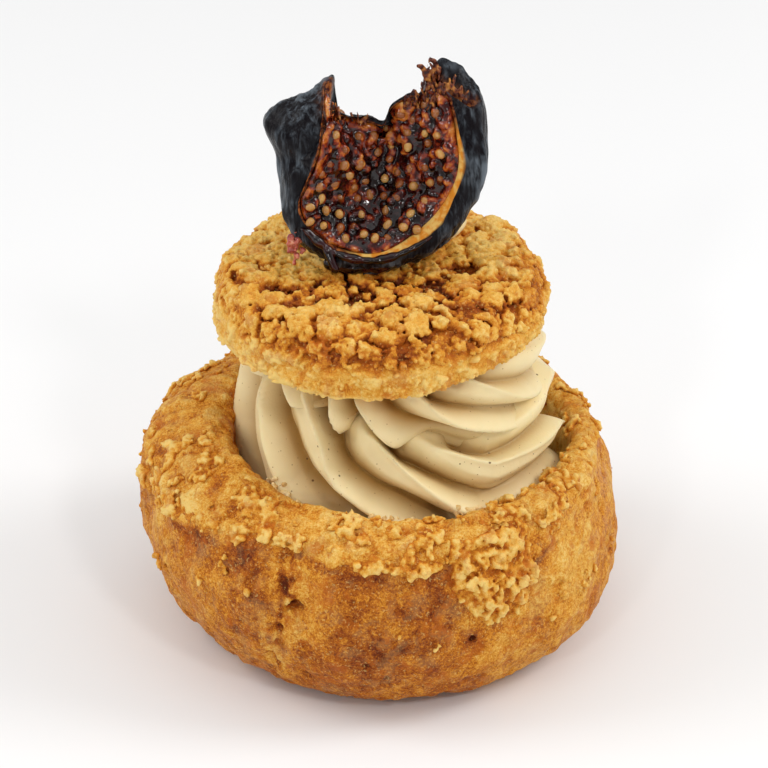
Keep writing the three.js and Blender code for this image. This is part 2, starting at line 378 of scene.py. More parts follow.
class Nodes:
    """Short names for building the nodes of one material or world."""

    def __init__(self, name, kind="materials"):
        self.owner = getattr(bpy.data, kind).new(name)
        self.owner.use_nodes = True
        self.tree = self.owner.node_tree

    def put(self, socket, value):
        if isinstance(value, bpy.types.NodeSocket):
            self.tree.links.new(value, socket)
        else:
            socket.default_value = value

    def node(self, kind, inputs, output, **settings):
        """One output of a new node with the given settings and inputs."""
        made = self.tree.nodes.new("ShaderNode" + kind)
        for key, value in settings.items():
            setattr(made, key, value)
        for key, value in inputs.items():
            self.put(made.inputs[key], value)
        return made.outputs[output]

    def attribute(self, name):
        return self.node("Attribute", {}, "Fac", attribute_name=name)

    def position(self, stretch=(1, 1, 1)):
        where = self.node("TexCoord", {}, "Object")
        return self.node("Mapping", {"Vector": where, "Scale": stretch}, "Vector")

    def noise(self, size, detail=2.0, rough=0.5, stretch=(1, 1, 1), bend=0.0):
        """Noise with lumps about `size` mm apart."""
        return self.node("TexNoise", {"Vector": self.position(stretch), "Scale": 1 / (size * MM), "Detail": detail,
                                      "Roughness": rough, "Distortion": bend}, "Fac")

    def cells(self, size):
        """Distance to the nearest of points about `size` mm apart, and that point's random value."""
        distance = self.node("TexVoronoi", {"Vector": self.position(), "Scale": 1 / (size * MM)}, "Distance")
        return distance, distance.node.outputs["Color"]

    def math(self, kind, *values):
        return self.node("Math", dict(enumerate(values)), 0, operation=kind)

    def scaled(self, value, gain):
        """A value around 0.5 as one around 0, times `gain`."""
        return self.math("MULTIPLY", self.math("SUBTRACT", value, 0.5), gain)

    def total(self, *values):
        result = values[0]
        for value in values[1:]:
            result = self.math("ADD", result, value)
        return result

    def within(self, value, low, high, to_low=0.0, to_high=1.0):
        """An S curve from `to_low` at `low` to `to_high` at `high`."""
        return self.node("MapRange", {"Value": value, "From Min": low, "From Max": high, "To Min": to_low,
                                      "To Max": to_high}, "Result", interpolation_type="SMOOTHSTEP")

    def patchy(self, size, low, high):
        """Patches about `size` mm apart, from `low` to `high`."""
        return self.within(self.noise(size), 0.3, 0.7, low, high)

    def ramp(self, value, stops):
        color = self.node("ValToRGB", {}, "Color")
        elements = color.node.color_ramp.elements
        while len(elements) < len(stops):
            elements.new(0.5)
        for element, (at, rgb) in zip(elements, stops):
            element.position = at
            element.color = (*rgb, 1)
        self.put(color.node.inputs["Fac"], value)
        return color

    def mix(self, share, a, b):
        """Colour a, towards colour b by `share`."""
        a, b = ((*value, 1) if isinstance(value, tuple) else value for value in (a, b))
        return self.node("Mix", {"Factor": share, "A": a, "B": b}, "Result", data_type="RGBA")

    def bump(self, height, depth_mm):
        return self.node("Bump", {"Distance": depth_mm * MM, "Height": height}, "Normal")

    def finish(self, color, roughness, normal=None, **sockets):
        """Fill in the shader; `sockets` are plain numbers set on its own sockets."""
        inputs = self.tree.nodes["Principled BSDF"].inputs
        self.put(inputs["Base Color"], color)
        self.put(inputs["Roughness"], roughness)
        if normal is not None:
            self.put(inputs["Normal"], normal)
        for key, value in sockets.items():
            inputs[key.replace("_", " ")].default_value = value
        return self.owner


def simple_material(name, stops, lumps, gloss, grain, depth_mm, **sockets):
    """Colour stops over the noise `lumps`, patches of `gloss` and the fine noise `grain` as relief."""
    n = Nodes(name)
    return n.finish(n.ramp(n.noise(*lumps), stops), n.patchy(*gloss), n.bump(n.noise(*grain), depth_mm), **sockets)


CRUST_STOPS = [
    (0.0, (0.87, 0.59, 0.18)), (0.22, (0.79, 0.42, 0.068)), (0.42, (0.66, 0.25, 0.018)),
    (0.6, (0.44, 0.12, 0.007)), (0.8, (0.24, 0.045, 0.003)), (1.0, (0.11, 0.017, 0.002)),
]


def crust_material(name, grain_mm, speckle, relief_shade_gain, bump_mm, dull=0.0, red=0.5):
    """Baked pastry: `bake` browns it, raised spots stay pale, and gaps go dark, partly as painted shade."""
    n = Nodes(name)
    fine = n.noise(grain_mm, 3.0, 0.65)
    tiny = n.noise(grain_mm * 0.45, 2.0, 0.6)
    streak = n.noise(1.6, 3.0, 0.6, bend=0.6)
    # the relief term darkens sunk places and gaps as painted shade
    tone = n.total(n.attribute("bake"), n.scaled(fine, speckle), n.scaled(tiny, speckle), n.scaled(streak, 0.4),
                   n.math("MULTIPLY", n.attribute("relief"), -relief_shade_gain))
    color = n.ramp(tone, CRUST_STOPS)
    color = n.mix(n.within(n.noise(3.4, 4.0, 0.7, bend=0.5), 0.50, 0.64, 0, dull), color, (0.52, 0.33, 0.13))
    color = n.mix(n.within(n.noise(3.0, 4.0, 0.7), 0.52, 0.64, 0, red), color, (0.52, 0.125, 0.008))
    color = n.mix(n.within(n.noise(0.42, 2.0, 0.5), 0.6, 0.7, 0, 0.4), color, (0.86, 0.59, 0.19))
    height = n.total(n.scaled(fine, 0.7), n.scaled(tiny, 0.5))
    return n.finish(color, n.patchy(2.5, 0.42, 0.68), n.bump(height, bump_mm),
                    Specular_IOR_Level=0.16, Subsurface_Weight=0.08, Subsurface_Scale=0.001,
                    Subsurface_Radius=(1.0, 0.5, 0.2))


# Numbers of the crusts' materials.
CRUMBLE_LOOK = dict(grain_mm=0.4, speckle=0.45, relief_shade_gain=0.12, bump_mm=0.2)
CAP_LOOK = dict(grain_mm=0.45, speckle=0.5, relief_shade_gain=0.12, bump_mm=0.2)
SHELL_LOOK = dict(grain_mm=0.5, speckle=0.8, relief_shade_gain=0.16, bump_mm=0.34, dull=0.22, red=0.55)


def make_crust(name, field, relief, bake, look, slot="crumble", replaces=None, grainy=True):
    """A piece of baked crust: `relief` is a blur radius and a depth, `bake(points)` its browning
    and `look` the numbers of its material."""
    points, faces = carved(name, field)
    material = crust_material(name, **look)
    make(name, points, faces, material, slot, replaces, grainy,
         bake=bake(points), relief=field.relief(points, *relief))
    return points, faces


# ---- choux shell --------------------------------------------------------------------------

OPENING_X = 2.685  # middle of the opening and of the cream
SHELL_RADIUS = 31.5  # at which the places below are laid out
SPLIT_AT, SPLIT_SCALE = 246, 0.55  # the split's compass angle, and millimetres per degree there


def polar_of(p):
    """Compass angle in degrees, distance from the upright axis, and height."""
    return np.degrees(np.arctan2(p[:, 1], p[:, 0])) % 360, np.hypot(p[:, 0], p[:, 1]), p[:, 2]


# Lower edge of the crumble crust that baked onto the choux: compass angle, height.
LEDGE = [
    (0, 26.5), (40, 25), (90, 24.5), (140, 25.5), (170, 24), (190, 21.5), (205, 23), (215, 24.2), (225, 25),
    (240, 26), (252, 25.6), (262, 25), (270, 24.4), (279, 23.6), (288, 23.8), (293, 20), (300, 15.8), (306, 17),
    (312, 22), (322, 26), (345, 27),
]
# The split in the front: angle, height along its line.
SPLIT = [(246, 24.6), (247, 22.7), (246, 20.5), (248, 18.4), (245.5, 16), (244, 12), (243, 8)]
# Holes, four of them along the split: angle, height, radius across, radius up, depth.
HOLES = [
    (192, 23, 0.8, 1.0, 1.6), (216, 27, 0.45, 0.8, 0.9), (214, 26.2, 0.7, 0.4, 0.9), (247.5, 21.9, 0.8, 0.3, 0.8),
    (248.6, 18.2, 0.7, 0.35, 0.8), (246, 14.6, 0.6, 0.4, 0.6), (245, 11.5, 0.6, 0.35, 0.5),
    (293, 13.3, 0.9, 0.6, 0.9), (326, 26.3, 0.45, 1.0, 1.0), (335, 26.4, 0.5, 0.4, 0.7), (188, 26.5, 0.5, 1.6, 0.8),
    (30, 19, 0.8, 0.5, 1.0), (74, 14, 0.6, 1.1, 1.1), (101, 22, 0.7, 0.6, 1.0), (150, 17, 0.6, 0.9, 1.1),
    (133, 9, 0.8, 0.5, 0.8), (12, 12, 0.5, 0.9, 0.9),
]
# Browner (+) and paler (-) places: angle, height, reach in mm, strength.
TONES = [
    (221, 23.4, 2.4, 0.26), (236, 24.3, 2.4, 0.28), (263, 23.8, 2.4, 0.26), (271, 23.2, 1.8, 0.22),
    (285, 19.9, 1.5, 0.22), (283, 18, 0.9, 0.32), (290, 25, 1.1, 0.3), (313, 24, 1.3, 0.2), (188, 27.4, 1.6, 0.25),
    (217, 29.2, 1.2, 0.24), (227, 28.2, 1.2, 0.2), (293, 13.2, 1.3, 0.3), (213, 26.2, 2.2, -0.32),
    (200, 22.5, 2.6, -0.3), (196, 18, 2.2, -0.22), (252, 21, 2.4, -0.2), (251, 15, 2.4, -0.22),
    (256, 27.5, 4.5, -0.15), (275, 27.3, 4.5, -0.12), (320, 20, 7, -0.1), (340, 24, 7, -0.1), (303, 9, 3, -0.08),
    (284, 10, 4, 0.1), (268, 12, 5, 0.1), (60, 22, 5, 0.12), (110, 13, 6, 0.12), (150, 24, 4, 0.15),
    (20, 10, 5, -0.1),
]
# Clumps of crumble on the shoulder and rim: angle, height, half width in mm.
CLUMPS = [
    (233, 27, 1.1), (238, 27.8, 1.5), (247, 27.6, 1.1), (262, 26.2, 1.0), (268, 25.6, 1.4), (277, 25.6, 1.4),
    (280, 26.6, 0.8), (226, 26.4, 0.9), (204, 27, 0.9), (211, 25.2, 1.6), (207, 23.6, 1.2), (216, 25.8, 0.8),
    (196, 24.6, 1.4), (188, 25.6, 1.0), (318, 25.6, 1.6), (324, 27, 1.2), (333, 28, 1.3),
]


def chart_distance(angle, z, at, height):
    across = ((angle - at + 180) % 360 - 180) * math.pi / 180 * SHELL_RADIUS
    return np.hypot(across, z - height)


def split_distance(angle, z):
    line = [((a - SPLIT_AT) * SPLIT_SCALE, h) for a, h in SPLIT]
    return polyline_distance((angle - SPLIT_AT) * SPLIT_SCALE, z, [line])


def flakes(p):
    """1 on the browned scales of the choux skin, 0 in the paler seams between them."""
    return smooth(fractal(p, 2.8, 4, 51, 0.7), -0.06, 0.06)


def pierce(field):
    """Cut the holes into the shell's outside."""
    for at, height, across, up, depth in HOLES:
        cos, sin = math.cos(math.radians(at)), math.sin(math.radians(at))
        probe = np.array([[cos * away, sin * away, height] for away in np.arange(36, 22, -0.1)])
        inside = np.nonzero(field.sample(probe) < 0)[0]
        if len(inside):
            axes = np.array([[-sin, 0, cos], [cos, 0, sin], [0, 1, 0]])
            field.blob(probe[inside[0]], (across, up, depth), axes, 0.25, cut=True)


def shell_lift(p):
    """How far in mm the shell's surface stands out beyond the plain solid."""
    angle, _, z = polar_of(p)
    split = split_distance(angle, z)
    edge = table(LEDGE, angle) + 0.7 * noise(p, 2.2, 41) + 0.4 * noise(p, 0.9, 42)
    soft = bell(angle, 215, 32)
    crust = smooth(z - edge, -0.1 - 0.5 * soft, 0.3 + 1.2 * soft)
    lift = noises(p, (0.30, 9, 1), (0.28, 3.6, 2), (0.17, 1.7, 3), (0.11, 0.9, 4))
    # upright strands in the bare choux, and the crust standing proud of it
    lift += (0.12 * noise(stretched(p, z=0.22), 0.9, 5)) * (1 - crust)
    lift += crust * (0.42 + 0.26 * noise(p, 1.7, 6) + 0.24 * noise(p, 0.9, 7))
    # a fuller shoulder at the back left, a lower one at the right
    lift += 0.7 * bell(angle, 160, 24) * smooth(z, 21, 26) - 0.8 * bell(angle, 22, 26) * smooth(z, 20, 26)
    # the split: pits on its line in a wide hollow, torn fibres, and creases beside it
    pitted = smooth(noise(p, 1.5, 9), 0.0, 0.6)
    lift -= 0.3 * hill(split, 0.9) * smooth(z, 6, 10) * pitted + 0.5 * hill(split, 1.8)
    lift += 0.4 * noise(stretched(p, z=0.25), 0.8, 12) * hill(split, 2.2)
    beside = bell(angle, 251, 4.5) * (1 - crust) * smooth(z, 5, 9)
    lift += 0.22 * noise(stretched(p, z=1.8), 0.8, 10) * beside
    # pits and pores, and scales of skin
    lift -= 0.35 * smooth(noise(p, 1.9, 8), 0.4, 0.75) + 0.12 * smooth(noise(p, 0.7, 11), 0.35, 0.7)
    lift += 0.35 + 0.2 * flakes(p) * (1 - crust)
    return lift


def shell_bake(points):
    """How brown the shell is: 0 pale, 1 nearly black."""
    angle, _, z = polar_of(points)
    bake = 0.49 + 0.13 * bell(angle, 262, 40) * (1 - smooth(z, 22, 27)) - 0.06 * bell(angle, 335, 45)
    bake -= 0.09 * smooth(z, 23, 27)
    bake += 0.06 * (1 - smooth(z, 1, 8)) + 0.12 * fractal(points, 7, 2, 61) + 0.14 * fractal(points, 2.6, 2, 63)
    for at, height, reach, strength in TONES:
        bake += strength * hill(chart_distance(angle, z, at, height), reach)
    bake += 0.09 * (flakes(points) - 0.5) * (1 - smooth(z, 21, 26))
    bake += 0.22 * hill(z - table(LEDGE, angle) + 0.7, 0.6) * smooth(noise(points, 3.0, 65), -0.3, 0.5)
    threads = noise(stretched(points, z=0.2), 0.7, 66)
    bake += (0.45 * threads - 0.12) * hill(split_distance(angle, z), 2.6) * (z < 25)
    inner = (np.hypot(points[:, 0] - OPENING_X, points[:, 1]) < 24.2) & (z > 9)
    # inside the opening: browner at the back left, partly crust and partly painted shade; much paler at the right as
    # painted light on the shaded wall
    return np.where(inner, bake - 0.06 + 0.24 * bell(angle, 165, 45) - 0.42 * bell(angle, 350, 45), bake)


def build_shell():
    """The shell's skin. Returns the field of its dressed shoulder, for what lies on it."""
    field = Field((-36, -36, -1.5), (36, 36, 34), step=0.36, fill=3).load(*node_mesh("choux_shell"))
    field.blur(0.7)
    pierce(field)
    where, p = field.near(2.3)
    _, r, z = polar_of(p)
    hidden = (r < 24.3) & (z < 22)
    field.value[where] -= shell_lift(p) * (np.where(hidden, 0, 1) * smooth(z, 0.3, 2.0))
    skin = make_crust("choux_crust", field, (0.9, 0.3), shell_bake, SHELL_LOOK, "choux", "choux_shell", grainy=False)
    return Field((-35, -35, 11), (35, 35, 32.6), step=0.25, fill=3).load(*skin, band=10)


def build_shell_crumbs(base):
    """The crumble left on the shell's shoulder and rim, and the slab of it at the right front."""
    clods = Clods(base, size=1.7, seed=78)

    def height(p):
        angle, r, z = polar_of(p)
        lumps = noise(p, 1.7, 71) + 0.6 * noise(p, 0.85, 72) + 0.4 * noise(p, 0.45, 73)
        slab = smooth(angle, 287, 289.5) * (1 - smooth(angle, 310, 313)) * (1 - smooth(z, 27, 28.5))
        slab *= smooth(z - 15.4 - 0.7 * np.maximum(np.abs(angle - 300) - 4.5, 0) + 0.9 * noise(p, 1.6, 74), -0.3, 0.3)
        wanted = -1
        shoulder = smooth(z - table(LEDGE, angle), -0.3, 0.6) * (1 - 0.3 * smooth(angle, 320, 330))
        wanted += (0.95 * shoulder * (1 - slab) * smooth(noise(p, 5.0, 75), -0.9, 0.2)
                   * (1 + 0.15 * bell(angle, 210, 30)))
        for at, level, wide in CLUMPS:
            wanted += 0.9 * hill(chart_distance(angle, z, at, level), wide)
        wanted = np.where((r < 24.5) | (z < 12), -2, wanted)
        clump = smooth(lumps + wanted, -0.12, 0.12) * (1.05 + 0.4 * noise(p, 1.9, 76) + 0.35 * noise(p, 0.8, 77))
        near = slab > 0.02
        inside, number = clods.at(p[near])
        crack = smooth(inside - 0.4 + 0.5 * noise(p[near], 0.9, 79), -0.2, 0.35)
        lump = 0.8 + 0.35 * number + 0.3 * noise(p[near], 0.8, 80)
        clump[near] = np.maximum(clump[near], slab[near] * (0.95 + crack * lump))
        return -0.8 + clump

    def bake(points):
        angle, _, z = polar_of(points)
        above = base.sample(points)
        slab = bell(angle, 299, 9) * (z < 26)
        tone = 0.62 - 0.1 * slab - (0.52 - 0.1 * slab) * smooth(above - 0.2 * slab, 0.05, 0.85)
        return tone + 0.22 * fractal(points, 2.4, 3, 84)

    layer = crumbled(base, height, cover=1.0, gap=0.45, grain=(0.15, 0.32), seed=7)
    layer.roughen(0.6, (0.10, 0.8, 81), (0.09, 0.45, 82))
    make_crust("choux_crumbs", layer, (0.5, 0.2), bake, CRUMBLE_LOOK)


# ---- cap ----------------------------------------------------------------------------------

def fig_shadow_strip(p):
    """1 on the strip of the lid right in front of the fig, where the fig's shadow is painted."""
    return np.exp(-(((p[:, 0] + 1.5) / 13.5) ** 2 + ((p[:, 1] + 7) / 5.2) ** 2))


def build_cap():
    """The lid: its crust, and the loose clods of crumble over its top."""
    base = Field((-25.5, -26, 44.5), (26, 25.5, 58), step=0.22, fill=2).load(*node_mesh("choux_cap"), band=12)
    base.blur(0.7)
    where, p = base.near(2.4)
    _, r, z = polar_of(p)
    base.value[where] += (1.35 * smooth(z, 49.5, 52.5) + 0.55 * smooth(r, 20, 23) * smooth(z, 47, 49)
                          - (0.3 * noise(p, 5, 21) + 0.22 * noise(p, 2.2, 22)) * smooth(z, 46.6, 48.5))
    clods = Clods(base, size=3.4, seed=35)

    def bake(points):
        """Dark gaps, partly painted shade, and pale tops on the crown; sides paler, partly painted light; painted
        shadow of the fig on a strip in front of it.
        """
        angle, _, z = polar_of(points)
        above = base.sample(points)
        top = smooth(z, 49.6, 52)
        tone = 0.42 + 0.14 * fractal(points, 4, 2, 26) + 0.12 * fractal(points, 1.6, 2, 27)
        gap = 0.24 + 0.08 * bell(angle, 290, 75)
        # on the crown: dark gaps and pale clod tops, partly the crumble's own tone and partly painted shade in the
        # gaps
        tone += top * (gap - (gap + 0.26) * smooth(above, 0.35, 1.6) + 0.06 * clods.at(points)[1])
        # the sides paler, their raised bits most, partly painted light where the clods above shade them
        tone -= (1 - top) * (0.18 + 0.18 * smooth(above, 0.1, 0.7))
        # painted shadow of the fig on the strip in front of it, darkest in its gaps
        tone += fig_shadow_strip(points) * top * (0.28 + 0.2 * (1 - smooth(above, 0.3, 1.6)))
        tone -= 0.38 * (1 - smooth(z, 46.4, 47.3)) * (0.2 + 0.8 * bell(angle, 225, 45))
        tone += 0.13 * (1 - smooth(z, 46.5, 49)) * bell(angle, 275, 40)
        return tone - 0.08 * bell(angle, 160, 60)

    def height(p):
        angle, r, z = polar_of(p)
        inside, number = clods.at(p)
        loose = bell(angle, 290, 75) * smooth(r, 1, 6)
        top = smooth(z + 1.2 * noise(p, 3, 30), 48.2, 51.4)
        ragged = 0.5 * noise(p, 1.3, 24) + 0.3 * noise(p, 0.65, 25)
        clump = smooth(inside + 0.15 - 0.6 * loose - 0.3 * fig_shadow_strip(p) + 1.3 * ragged - 2.2 * (1 - top), -0.3, 0.45)
        tall = 1.1 + 0.85 * top + (0.15 + 0.35 * loose) * number + 0.25 * np.minimum(inside, 1.5)
        tall += (0.25 + 0.35 * loose) * noise(p, 2.0, 26) + 0.3 * noise(p, 1.0, 27)
        tall *= 1 - 0.38 * smooth(r, 18.5, 23)
        ground = 0.9 + 0.25 * noise(p, 1.7, 36) + 0.15 * noise(p, 0.8, 37) - (0.1 + 0.45 * loose) * top
        return -0.8 + np.maximum(clump * tall, ground)

    def skin(p):
        side = smooth(p[:, 2], 46.2, 46.8)
        return -0.4 + 0.5 * side + 0.12 * noise(p, 1.2, 33) * side

    crumbs = crumbled(base, height, cover=1.0, gap=0.46, grain=(0.18, 0.34), seed=11)
    crumbs.roughen(0.6, (0.10, 0.9, 28), (0.05, 0.45, 29))
    make_crust("cap_crumbs", crumbs, (0.5, 0.22), bake, CRUMBLE_LOOK)

    crust = crumbled(base, skin, cover=0.9, gap=0.42, grain=(0.12, 0.27), seed=12)
    crust.value = np.minimum(crust.value, base.value)
    where, p = crust.near(0.9)
    angle, r, z = polar_of(p)
    feather = hill(z - 46.6, 0.35) * smooth(r, 19.5, 21.5) * (0.2 + 0.8 * bell(angle, 228, 40))
    crust.value[where] -= noises(p, (0.10, 1.0, 31), (0.10, 0.5, 32)) + 0.3 * feather * (1 + noise(p, 0.7, 34))
    make_crust("cap_crust", crust, (0.55, 0.22), bake, CAP_LOOK, replaces="choux_cap")


# ---- piped cream --------------------------------------------------------------------------

# Crests and grooves of the lower coil: compass angle, height.
CRESTS = [
    [(206, 44), (207, 41.5), (210, 38.5), (213, 36.9), (216, 34.4), (220, 32.1), (224, 29.8), (229, 26), (232, 22)],
    [(226, 45), (229, 42.8), (233, 41.1), (237, 38.9), (241, 36.6), (244, 34.1), (249, 31.7), (258, 29.2),
     (266, 27.6), (280, 24.5)],
    [(247, 42), (251, 40), (260, 38.3), (268, 36), (275, 33.8), (282, 31.3), (290, 28.5), (300, 26.5), (320, 25.5),
     (340, 25), (360, 23.5)],
    [(276, 38), (285, 36.5), (292, 35.6), (299, 34.5), (307, 33.3), (316, 33), (327, 32.6), (344, 31.9), (352, 31.3),
     (365, 28)],
    [(305, 37), (322, 36), (338, 36.6), (350, 37.5), (362, 37), (375, 34), (390, 28)],
    [(176, 44), (168, 39), (168, 34), (174, 28), (182, 23)],
]
GROOVES = [
    [(190, 45), (184, 40), (184, 36), (190, 31), (198, 26), (204, 22)],
    [(208, 45), (211, 41.6), (213, 40), (217, 38.2), (221, 36.7), (226, 33.9), (232, 31.3), (242, 29), (254, 26.6),
     (262, 24)],
    [(231, 45), (236, 42), (240, 39.7), (244, 37.2), (251, 34.5), (262, 31.6), (270, 30), (281, 27), (290, 24.5)],
    [(262, 40), (265, 37.9), (270, 36.4), (278, 35), (286, 33), (293, 30.7), (302, 28.3), (307, 27.8), (320, 28),
     (335, 27.5), (350, 26.5), (365, 24)],
    [(285, 39), (294, 36.8), (302, 35.4), (310, 34.3), (322, 34), (336, 33.9), (352, 33.4), (366, 30), (380, 25)],
]
COIL_TOP = [
    (0, 41), (30, 40.5), (90, 41), (150, 43), (185, 45), (205, 45.6), (228, 45.4), (235, 43.6), (239, 41.6),
    (243, 40), (247, 39.4), (253, 40), (258, 40), (264, 38.8), (270, 38.2), (285, 37.5), (300, 36.6), (318, 36.4),
    (332, 38), (345, 40),
]
COIL_FOOT = [(0, 18.5)]
# The upper coil, and the line on which it sits.
CRESTS_UP = [
    [(241, 46), (243, 43.2), (243.5, 41), (245, 39.2), (246, 37)],
    [(250, 46), (253, 43.8), (256, 42.4), (259, 41.2), (262, 39.4), (266, 37.5), (269, 36)],
    [(272, 46.2), (279, 44.5), (285, 42.2), (293, 39.8), (302, 38.1), (315, 36.1), (322, 35.4), (336, 33.6)],
    [(288, 47.6), (297, 46.4), (307, 44.4), (315, 42.5), (324, 40.4), (337, 38.2), (350, 37)],
    [(314, 46.9), (330, 45.6), (350, 43.6), (366, 42)],
]
GROOVES_UP = [
    [(232, 46), (235, 43), (239, 41), (241, 38)],
    [(247, 46), (250, 42.7), (252, 41.3), (254.5, 38.8), (256, 37)],
    [(262, 46), (267, 43.4), (270, 42.2), (275, 40.6), (281, 39.4), (290, 38.1), (307, 36.1), (326, 33)],
    [(280, 45.6), (285, 44), (292, 42.5), (299, 41.4), (306, 40.3), (319, 38.5), (331, 36.6), (345, 34.5)],
    [(298, 46.6), (306, 45.4), (314, 44.2), (325, 42.8), (338, 40.8), (352, 39.5)],
]
TOP_UP = [(0, 46.6)]
SEAT = [
    (0, 33), (60, 37), (145, 41), (200, 42), (230, 41), (237, 39.4), (241, 37.7), (245, 36.9), (249, 37.3),
    (252, 38.3), (257, 38.4), (262, 37), (265, 35.7), (270, 35.3), (276, 35.2), (286, 35.2), (291, 34.6),
    (300, 33.2), (309, 32), (322, 31.6), (340, 31.8),
]
CREST_POWER = 0.72  # below 1 the crests are broad and the grooves narrow
# The cream below the coils, down to the shell's floor: share of the coil's width, height.
FOOT = [(0.4, 8.2), (0.75, 12.2), (0.92, 15.5)]


def extra_lines(first, last, count, slope, low, high):
    """Evenly laid ridges for the side of the coil away from the front."""
    return [[(angle + slope * (high - z), z) for z in np.linspace(high, low, 5)]
            for angle in np.linspace(first, last, count)]


def wrapped(lines, radius):
    """Chart lines in millimetres along the coil, repeated one turn either side."""
    scale = math.pi / 180 * radius
    return [[((a + turn) * scale, z) for a, z in line] for line in lines for turn in (-360, 0, 360)
            if min(a for a, _ in line) + turn < 372 and max(a for a, _ in line) + turn > -12]


def ridged(angle, z, crests, grooves, radius):
    """1 on a crest, 0 in a groove."""
    x = angle * math.pi / 180 * radius
    to_crest = polyline_distance(x, z, wrapped(crests, radius))
    to_groove = polyline_distance(x, z, wrapped(grooves, radius))
    to_groove = np.sqrt(to_groove ** 2 + 0.04) - 0.2
    share = to_groove / (to_groove + to_crest + 1e-6)
    return (1 - np.clip(np.sqrt((1 - share) ** 2 + 0.004) - 0.06, 0, 1)) ** CREST_POWER


def coil(rows, around, middle, tube_radius, tube_height, top, bottom, lines, depth, rise, base, fill=None, belly=0.75):
    """One coil of the piping: an upright ring of the given middle radius, tube radius and height, between the
    tables `top` and `bottom`, with ridges pressed `depth` mm into it where it has risen above `rise`."""
    angle = np.arange(around) * 360 / around
    share = np.linspace(0, 1, rows)[:, None]
    turn = np.radians(-78 + 156 * share) * np.ones((1, around))
    up, down = table(top, angle) - tube_height, tube_height - table(bottom, angle)
    c, s = np.cos(turn), np.sin(turn)
    z = tube_height + np.where(s > 0, up, down) * s
    r = middle + tube_radius * np.abs(c) ** np.where(s < 0, belly, 0.75)
    if fill:
        r = r + fill(angle, z)
    a = np.broadcast_to(angle, z.shape)
    crest = ridged(a, z, *lines, middle + tube_radius - 1)
    body = smooth(z, *rise)
    shallow = 1 - 0.35 * smooth(a, 280, 315) * (1 - smooth(a, 345, 360))
    inward = depth * shallow * (1 - crest) * body * smooth(np.abs(c), 0.1, 0.5)
    out = np.stack([np.cos(np.radians(a)), np.sin(np.radians(a))], -1)
    grid = np.concatenate([out * (r - inward * np.abs(c) ** 0.3)[..., None], (z - inward * s * 0.8)[..., None]], -1)
    grid[..., 0] += OPENING_X
    wobble = noises(grid.reshape(-1, 3), (0.10, 4.5, 31), (0.035, 1.6, 32), (0.012, 0.7, 33))
    grid[..., :2] += (wobble.reshape(z.shape) * body)[..., None] * out
    under = base(grid[0])
    # share of painted shade that browns the cream: 1 deep in a groove, 0 on a crest
    hollow = ((1 - crest) * body * shallow).ravel()
    hollow = np.concatenate([np.zeros(len(under) * around), hollow, np.zeros(around + 2)])
    grid = np.concatenate([under, grid, [grid[-1] * [0.4, 0.4, 1] + [OPENING_X * 0.6, 0, 0.15]]])
    return *ring_surface(grid), hollow


def build_rim_crumbs(shell, points):
    """Crumbs wetted by the cream, along the front of the rim."""
    angle, _, z = polar_of(points)
    spots = points[(np.abs(shell.sample(points)) < 1.0) & (z > 25.5) & (z < 30.5) & (angle > 185) & (angle < 352)]
    rng = np.random.default_rng(43)
    field = Field((-26, -27, 23), (28, 4, 32), step=0.2, fill=1.0)
    for i in scattered(spots, 0.95 * smooth(noise(spots, 4.0, 44), -1.0, -0.2), 0.5, rng):
        r = rng.uniform(0.2, 0.48)
        field.lump(spots[i] + rng.normal(size=3) * 0.3, r, (0.6, 1.4), rng, 0.15)
    field.roughen(0.6, (0.12, 0.8, 45), (0.08, 0.45, 46))
    stops = [(0.34, (0.62, 0.34, 0.09)), (0.5, (0.80, 0.58, 0.26)), (0.66, (0.90, 0.74, 0.42))]
    material = simple_material("rim_crumbs", stops, lumps=(1.6, 4.0, 0.65), gloss=(1.5, 0.4, 0.6), grain=(0.35, 3.0),
                               depth_mm=0.15, Specular_IOR_Level=0.25)
    make("rim_crumbs", *carved("rim_crumbs", field), material, "crumble", grainy=True)


def cream_material():
    """Pale cream, browned in the grooves by painted shade, with large and small dark specks."""
    n = Nodes("cream")
    away, number = n.cells(2.2)
    big = n.within(n.math("SUBTRACT", away, n.math("MULTIPLY", number, 0.075)), 0.0, 0.035, 0.9, 0)
    away, number = n.cells(0.9)
    small = n.math("MULTIPLY", n.within(away, 0.06, 0.12, 0.85, 0), n.within(number, 0.32, 0.42))
    color = n.ramp(n.total(n.scaled(n.noise(5, 2.0), 0.8), 0.5),
                   [(0.2, (0.84, 0.68, 0.36)), (0.8, (0.90, 0.755, 0.435))])
    # painted shade: browner the deeper a groove lies
    color = n.mix(n.within(n.attribute("hollow"), 0.06, 0.82, 0.0, 0.95), color, (0.42, 0.215, 0.04))
    color = n.mix(small, color, (0.30, 0.15, 0.05))
    color = n.mix(big, color, (0.13, 0.06, 0.02))
    return n.finish(color, n.patchy(1.2, 0.38, 0.5), n.bump(n.noise(0.35, 3.0), 0.035),
                    Specular_IOR_Level=0.3, Subsurface_Weight=0.12, Subsurface_Scale=0.0006,
                    Subsurface_Radius=(1.0, 0.6, 0.28))


